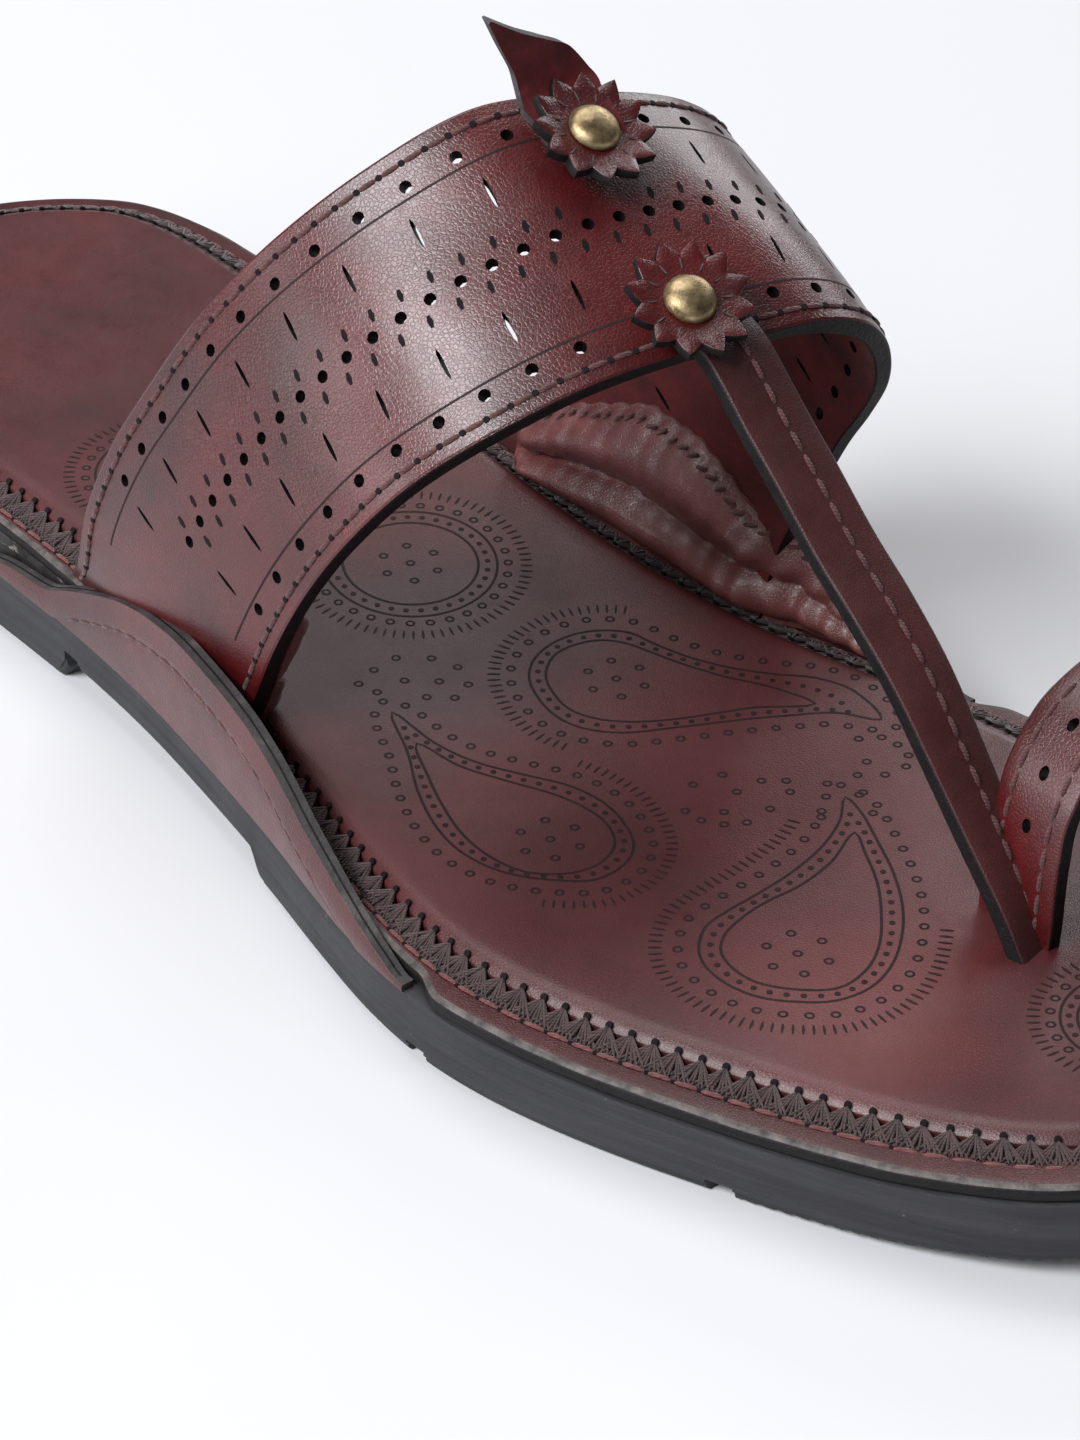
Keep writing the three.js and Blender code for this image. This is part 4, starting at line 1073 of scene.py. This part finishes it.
def band_places(rows, degrees=0, off=0.0):
    """Places clear of the rosettes, in rows of (first run, end, pitch, share across)."""
    out = []
    for first, end, pitch, f in rows:
        for a in np.arange(first, end, pitch):
            p, n = band(a, f)
            if all(np.linalg.norm((p - c)[:2]) > ROSETTE_CLEAR for c in (FRONT_AT[0], REAR_AT[0])):
                x = unit(band(a + 0.5, f)[0] - band(a - 0.5, f)[0])
                out.append((p + n * off, *turned(x, np.cross(n, x), math.radians(degrees)), n))
    return out


def cut_holes(obj, groups):
    """Cut (model, places) groups through a piece, the cut walls in its second material."""
    mats = [BAND_LEATHER, EDGE_DARK]
    cutters = join("cutters", [scatter("cutter", model, places, mats, 1) for model, places in groups])
    carve(obj, cutters)
    bpy.data.objects.remove(cutters)
    tidy(obj, angle=42)


cut_holes(band_piece, [
    (disc_model(0.86, 0.86, 10, 9), band_places([(24.8, BAND_END, 7.0, 0.13), (29.0, BAND_END, 6.4, 0.87)])),
    (disc_model(0.84, 0.84, 10, 9), band_places([(CENTRE_START, BAND_END - 6, CENTRE_PITCH, 0.5)])),
    (disc_model(2.3, 0.31, 8, 9), band_places([(25.4, BAND_END, 9.6, 0.29), (26.0, BAND_END, 9.6, 0.715)], 90))])
piece(band_piece, ["upper"])

# dashes beside the centre holes are dark discs, not cut: painted shade in the small cuts
dashes = band_places([(CENTRE_START + 2.1, BAND_END - 3.9, CENTRE_PITCH, f) for f in (0.435, 0.565)], 84, -0.05)
scored = [(*band(np.arange(17, 187, 1.0), f), False) for f in (0.165, 0.83)]
marks = [scatter("dashes", disc_model(0.975, 0.4, 6, 0.2), dashes, [HOLE_SHADE]),
         tube_strip("scored", scored, [BURNT], half=0.2, high=0.02, low=0.3)]
piece(join("band_marks", marks), [])

# dark prick discs between the band's stitches: painted shade in the stitch holes
seams, pricks = [], []
for f in (0.056, 0.944):
    p, n = band(np.arange(2.5, BAND_LEN - 2.5, 0.8), f)
    seams += along(p, n, BAND_PITCH, off=0.12)
    pricks += [(o + x * PRICK_SHIFT, x, y, z) for o, x, y, z in along(p, n, BAND_PITCH, off=0.02)]
seam_stitch = lambda: thread_model(2.75, 0.68, 0.62, bend=0.14)
piece(scatter("band_stitches", seam_stitch(), seams, [THREAD_SEAM]), [])
piece(scatter("band_pricks", disc_model(0.5, 0.42, 7, 0.25), pricks, [HOLE_SHADE]), [])


# ---- toe strap and toe loop
def ribbon(centres, widths, thickness, across):
    """Top and under faces of a strip, with the width direction at each point."""
    t = unit(np.gradient(centres, axis=0))
    size = np.linalg.norm(widths, axis=1, keepdims=True)
    w = widths - t * (widths * t).sum(1, keepdims=True)
    w = unit(w) * size
    n = unit(np.cross(t, w))
    f = np.linspace(-0.5, 0.5, across)[None, :, None]
    flat_face = centres[:, None] + w[:, None] * f
    return flat_face - n[:, None] * 0.28 * np.abs(2 * f) ** 6, flat_face - n[:, None] * thickness, w, n


def strap_shape(count):
    post = np.array([POST_X, HEEL_Y - 0.836 * LENGTH, 0.0])
    post[2] = float(pad_height(post[:2])[0]) + 0.1
    start = FRONT_AT[0] + np.array([2.9, 0, STRAP_T * 1.05])
    table = np.array(STRAP)
    q = smooth(start + (post - start) * table[:, [0, 0, 1]], count)
    w = smooth(table[:, 2:], count)
    a = np.radians(w[:, 1])
    return q, np.column_stack([np.cos(a), np.sin(a), np.zeros(len(a))]) * (STRAP_W * w[:, :1])


q, w = strap_shape(110)
top, under, strap_w, strap_n = ribbon(q, w, STRAP_T, 11)
strap = slab("toe_strap", top, under, [STRAP_LEATHER, EDGE_DARK, SUEDE], bevel=0.3)
piece(strap, ["upper"])
strap_line = q + strap_w * 0.08


def loop_shape(count):
    y = HEEL_Y - 0.82 * LENGTH
    far = float(edges_at(PLAN, y)[1]) - 0.4
    low = float(rim_top(y)) + PAD_RISE
    run = [[POST_X + (far - POST_X) * r[0], HEEL_Y - 0.8155 * LENGTH - LOOP_W * r[2], low + LOOP_RISE * r[1]]
           for r in LOOP]
    q = smooth(run, count)
    w = smooth([[r[3], 0] for r in LOOP], count)
    return q, np.column_stack([np.zeros(count + 1), LOOP_W * w[:, 0], np.zeros(count + 1)])


q, w = loop_shape(120)
shown = q[:, 2] > rim_top(q[:, 1]) - 0.5
q, w = q[shown], w[shown]
top, under, w, n = ribbon(q, w, LOOP_T, 13)
loop = slab("toe_loop", top, under, [BAND_LEATHER, EDGE_DARK, SUEDE], bevel=0.35)
arc = arc_of(q)
at = np.interp(np.arange(9, arc[-1] - 8, 7.2), arc, np.arange(len(q))).astype(int)
eyelets = list(zip(q[at], unit(np.gradient(q, axis=0))[at], unit(w[at]), n[at]))
cut_holes(loop, [(disc_model(1.0, 0.72, 10, 9), eyelets)])
piece(loop, ["upper"])
seams = along(strap_line[6:-4], strap_n[6:-4], SEAM_PITCH)
for f in (-0.3, 0.3):
    seams += along(q[3:-3] + w[3:-3] * f, n[3:-3], SEAM_PITCH, off=0.08)
piece(scatter("strap_stitches", seam_stitch(), seams, [THREAD_SEAM]), [])


# ---- side flaps
def flap(side, name, node):
    s = np.linspace(FLAP_START, FLAP_END, 150)[:, None]
    y = HEEL_Y - s * LENGTH
    z0 = wall_top(y) + 0.05
    z1 = np.maximum(z0 + FLAP_T / 2, z0 + FLAP_H * flaps(s))
    k = 0 if side < 0 else 1
    a, b = edges_at(PLAN, y)[k], edges_at(inset(PLAN, FLAP_T), y)[k]
    f = np.concatenate([np.linspace(0, 0.94, 26), [0.97, 1.0]])
    tall = np.clip((z1 - z0) / 10, 0, 1)
    bow = -side * FLAP_LEAN * f ** 2 * tall + side * 0.35 * np.sin(np.pi * f) * tall
    up = z0 + (z1 - z0) * f
    grid_y = np.repeat(y, len(f), 1)
    below = (z1 - z0) * (1 - f)
    hem = side * (0.5 * soft((4.9 - below) / 0.9) - 0.18 * np.exp(-((below - 4.6) / 0.5) ** 2)) * tall
    outer, inner = np.stack([a + bow + hem, grid_y, up], -1), np.stack([b + bow, grid_y, up], -1)
    piece(slab(name, outer, inner, [BAND_LEATHER, EDGE_GREY, SUEDE], bevel=0.28), [node])
    seam = []
    for i in np.nonzero((z1 - z0)[:, 0] > 6.5)[0]:
        share = 1 - FLAP_SEAM / (z1 - z0)[i, 0]
        seam.append([np.interp(share, f, outer[i, :, c]) for c in range(3)])
    return np.array(seam), ((outer + inner) / 2)[2:-2, -1]


seams, lines = [], []
for side, name, node in ((-1, "flap_outer_leather", "flap_outer"), (1, "flap_inner_leather", "flap_inner")):
    seam, middle_line = flap(side, name, node)
    seams += along(seam, unit(np.repeat([[float(side), 0, 0.05]], len(seam), 0)), SEAM_PITCH, off=0.12)
    lines.append((middle_line, np.repeat([[0, 0, 1.0]], len(middle_line), 0), False))
piece(scatter("flap_stitches", thread_model(2.6, 0.6, 0.5, bend=0.1), seams, [THREAD_SEAM]), [])
piece(tube_strip("flap_layer_line", lines, [EDGE_DARK], half=0.16, high=0.05, low=0.3), [])


# ---- lining pads inside the band's feet
def outer_lining():
    """Outer lining: a stuffed pad with a fold and a scalloped top, cut off where it meets the footbed."""
    u, v = np.meshgrid(np.linspace(0, 1, 46), np.linspace(0.0, 0.96, 60), indexing="ij")
    reach = 26.0
    back, n = band(u * (reach - 2 + 1.08 * np.abs(np.sin(v * 34))), v, -BAND_T - 0.12)
    edge_u = soft((1 - u) / 0.12) * 0.75 + 0.25
    edge_v = soft((v + 0.02) / 0.06) * soft((0.96 - v) / 0.06) * 0.8 + 0.2
    fold = np.exp(-((u - 0.47 - 0.05 * np.sin(v * 5)) / 0.05) ** 2)
    wrinkle = 0.35 * np.sin(u * 40 + 4 * v) * soft((0.3 - v) / 0.25) + 0.18 * np.sin(v * 47 + 6 * u)
    thick = LINING_T * (0.7 + 0.3 * np.abs(np.sin(u * math.pi * 2.05))) * edge_u - 2.4 * fold + wrinkle * 0.5
    thick *= edge_v * (0.25 + 0.75 * soft(u / 0.22))
    obj = slab("lining_outer_pad", back, back - n * np.maximum(thick, 0.4)[..., None], [LINING], angle=60)
    p = coords(obj) / MM
    x0, x1 = edges_at(PAD_LOOP, p[:, 1])
    ground = rim_top(p[:, 1]) + 0.25
    ground = np.where((p[:, 0] > x0) & (p[:, 0] < x1), np.maximum(ground, pad_height(p[:, :2])), ground)
    p[:, 2] = np.maximum(p[:, 2], ground)
    lay(obj, p * MM)
    tidy(obj, angle=60)
    piece(obj, ["lining_outer"])
    across = np.linspace(0.07, 0.93, 80)
    p, n = band(reach - 3.6 + np.abs(np.sin(across * 34)), across, -BAND_T - 2.6)
    return p, -n


def inner_lining():
    """Inner lining: two soft rolls with a deep crease, its front end drawn down along the flap."""
    nu, nv = 120, 60
    y = np.linspace(29, -45, nu)
    h = np.linspace(0, 1, nv)[None]
    top_z = np.interp(-y, [-29, -19, -6.5, 4, 12, 18.6, 24.8, 33, 39, 45],
                      [24, 29.5, 34.5, 34.5, 32, 28.8, 25.4, 20, 16.6, 13.6])
    top_z = top_z + 0.45 * np.abs(np.sin(y * 0.9)) * soft((y + 30) / 8)
    z0 = rim_top(y) + 0.15
    yy = np.repeat(y[:, None], nv, 1)
    zz = z0[:, None] + (top_z - z0)[:, None] * h
    ga, gf = np.meshgrid(np.linspace(BAND_LEN - 46, BAND_LEN, 93), np.linspace(0, 1, 61), indexing="ij")
    known = band(ga, gf, -BAND_T - 0.15)[0].reshape(-1, 3)
    ask = np.stack([yy, zz], -1).reshape(-1, 2)
    near = np.concatenate([((known[None, :, 1:] - q[:, None]) ** 2).sum(-1).argmin(1) for q in np.array_split(ask, 40)])
    back_x = known[near, 0].reshape(nu, nv)
    for _ in range(3):
        back_x[1:-1] = (back_x[:-2] + back_x[1:-1] + back_x[2:]) / 3
        back_x[:, 1:-1] = (back_x[:, :-2] + back_x[:, 1:-1] + back_x[:, 2:]) / 3
    front = soft((-15 - yy) / 9)
    back_x = back_x * (1 - front) + (edges_at(PLAN, y)[1][:, None] - 2.3) * front
    fade = soft((yy + 31) / 15)
    split = 0.42 + 0.03 * np.sin(yy * 0.11) + 0.10 * soft((-4 - yy) / 18)
    upper = np.sin(np.pi * np.clip((h - split) / (0.97 - split), 0, 1)) ** 0.8
    roll = np.sin(np.pi * np.clip((h - 0.07) / (split - 0.07), 0, 1)) ** 0.8
    thick = 0.35 + 2.9 * roll * (0.55 + 0.45 * fade) + 3.2 * upper * fade + (1 - fade) * 1.3 * np.sin(np.pi * h)
    pull = soft((-4 - yy) / 14)
    thick += pull * 0.36 * np.sin(yy * 1.5 + 5.5 * h + 1.2 * np.sin(9 * h)) * np.sin(np.pi * np.clip(h, 0, 0.9))
    thick += 0.10 * np.sin(yy * 0.45 + 5 * h) * roll + 0.07 * np.sin(yy * 1.1 - 9 * h) * upper
    thick *= (0.15 + 0.85 * soft((29 - yy) / 4)) * (0.25 + 0.75 * soft((yy + 45) / 5))
    face = np.stack([back_x - np.maximum(thick, 0.3), yy, zz], -1)
    back = np.stack([back_x, yy, zz], -1)
    piece(slab("lining_inner_pad", face, back, [LINING], angle=60), ["lining_inner"])
    line = face[8:-22, int(0.93 * (nv - 1))]
    return line, np.repeat([[-1.0, 0, 0.25]], len(line), 0)


seams = []
for p, n in (outer_lining(), inner_lining()):
    seams += along(p, unit(n), LINING_PITCH, skew=0.7)
piece(scatter("lining_stitches", thread_model(2.4, 0.75, 0.6, bend=0.15), seams, [THREAD_SEAM]), [])


# ---- rosettes, rivets, leaf
def frame_at(place, lift):
    p, n = place
    x = unit(np.cross([0, 1.0, 0.2], n))
    return p + n * lift, x, np.cross(n, x), n


def local(points, place, lift, turn=0.0):
    o, x, y, n = frame_at(place, lift)
    c, s = math.cos(turn), math.sin(turn)
    q = np.asarray(points)
    u, v = q[..., 0] * c - q[..., 1] * s, q[..., 0] * s + q[..., 1] * c
    return o + u[..., None] * x + v[..., None] * y + q[..., 2][..., None] * n


def rosette(name, node, place, lift, turn):
    """Pinked disc, cupped a little; gives the places of the slits that run in from its notches."""
    count = TEETH * 10
    plain_share = 0.66  # of the radius, inside the teeth
    k = np.arange(count)
    edge = ROSETTE_R - TOOTH * (1 - (1 - np.abs((k % 10) / 5 - 1)) ** 1.05)
    ang = 2 * np.pi * k / count
    prof = [(0.14, ROSETTE_T), (0.35, ROSETTE_T), (0.5, ROSETTE_T), (plain_share, ROSETTE_T), (0.95, ROSETTE_T),
            (0.985, ROSETTE_T - 0.1), (1.0, ROSETTE_T - 0.4), (1.0, 0.35), (0.975, 0.1), (0.9, 0.0), (0.6, 0.0),
            (0.3, 0.0)]
    rows = []
    for f, z in prof:
        beyond = max(0, f - plain_share) / (1 - plain_share)
        r = min(f, plain_share) * ROSETTE_R + (edge - plain_share * ROSETTE_R) * beyond
        cup = (CUP + 0.2 * np.sin(ang * 3 + 1)) * (r / ROSETTE_R) ** 3
        rows.append(np.stack([r * np.cos(ang), r * np.sin(ang), z + cup], -1))
    tips = [np.repeat([[0, 0, z]], count, 0) for z in (ROSETTE_T, 0.0)]
    sections = local(np.stack([tips[0]] + rows + [tips[1]], 1), place, lift, turn)
    piece(ring(name, sections, [BAND_LEATHER, EDGE_DARK], which=[0] * 6 + [1] * 7, angle=50), [node])
    _, x, y, n = frame_at(place, lift)
    out = []
    for a in 2 * np.pi * np.arange(TEETH) / TEETH:
        r = ROSETTE_R - TOOTH - 1.25
        d = math.cos(a + turn) * x + math.sin(a + turn) * y
        at = local([r * math.cos(a), r * math.sin(a), ROSETTE_T + 0.3], place, lift, turn)
        out.append((at, d, np.cross(n, d), n))
    return out


front_lift, rear_lift = STRAP_T + GAP + SEAT, LEAF_T + 2 * GAP + SEAT
slits = rosette("rosette_front_leather", "rosette_front", FRONT_AT, front_lift, 0.12)
slits += rosette("rosette_rear_leather", "rosette_rear", REAR_AT, rear_lift, 0.4)
piece(scatter("rosette_slits", disc_model(0.8, 0.1, 8, 0.12), slits, [BEVEL_PALE]), [])


def rivet(name, node, place, lift):
    count = 40
    ang = 2 * np.pi * np.arange(count) / count
    h = lift + ROSETTE_T + 0.12
    back = -BAND_T - CAP_T
    prof = [(0, back - 0.3), (CAP_R * 0.8, back - 0.3), (CAP_R, back - 0.15), (CAP_R, -BAND_T - 0.25),
            (SHANK_R, -BAND_T - 0.2), (SHANK_R, h), (DOME_R * 0.97, h), (DOME_R, h + 0.15), (DOME_R * 0.985, h + 0.4)]
    for k in range(1, 9):
        a = math.pi / 2 * k / 8
        prof.append((DOME_R * 0.96 * math.cos(a), h + 0.4 + (DOME_RISE - 0.4) * math.sin(a)))
    prof[-1] = (0, prof[-1][1])
    sec = np.stack([np.stack([r * np.cos(ang), r * np.sin(ang), np.full(count, z)], -1) for r, z in prof], 1)
    piece(ring(name, local(sec, place, 0), [BRASS], angle=45), [node])


rivet("brass_front", "rivet_front", FRONT_AT, front_lift)
rivet("brass_rear", "rivet_rear", REAR_AT, rear_lift)

base = REAR_AT[0] + REAR_AT[1] * (LEAF_T + GAP)
table = np.array(LEAF)
q = smooth(base + table[:, [1, 0, 2]] * LEAF_L, 60)
w = np.maximum(smooth([[r[3], 0] for r in LEAF], 60)[:, :1] * LEAF_W, 0.3)
top, under, _, _ = ribbon(q, unit(np.array([[1, -0.1, 0.15]])) * w, LEAF_T, 11)
piece(slab("leaf_leather", top, under, [BAND_LEATHER, EDGE_GREY, SUEDE], bevel=0.25), ["leaf_tab"])

# ---- floor, light
deselect()
bpy.ops.mesh.primitive_plane_add(size=8, location=(0, 0, 0))
floor = bpy.context.object
floor.name = "floor"
s = Shade("floor_white", Roughness=0.9)
paint(floor, [s.done(s.ramp(s.noise(2.0, 2), [(0.2, (198, 198, 201)), (0.8, (202, 202, 205))]))])


def area(name, at, target, size, power, colour=(1, 1, 1)):
    data = bpy.data.lights.new(name, "AREA")
    data.shape, data.size, data.size_y, data.energy, data.color = "RECTANGLE", size[0], size[1], power, colour
    obj = bpy.data.objects.new(name, data)
    scene.collection.objects.link(obj)
    obj.location = at
    look(obj, target)


COOL = (0.97, 0.98, 1)
area("overhead", (0.25, 0.65, 1.5), (0, 0, 0.03), (1.4, 0.8), 16)
area("left_key", (-1.3, 0.0, 1.4), (0, 0, 0.04), (1.0, 0.6), 44, COOL)
area("front_left", (-1.05, -0.75, 1.2), (0, -0.05, 0.03), (0.5, 0.4), 4)
area("right_back", (1.2, 0.5, 0.6), (0, 0, 0.07), (0.7, 0.4), 6, COOL)
area("left_low", (-1.2, 0.3, 0.32), (0, 0, 0.04), (0.9, 0.4), 7, COOL)
world = bpy.data.worlds.new("room")
world.use_nodes = True
glow = world.node_tree.nodes["Background"].inputs
glow[0].default_value, glow[1].default_value = (0.93, 0.95, 1, 1), 0.10
scene.world = world
scene.view_settings.view_transform = "Standard"
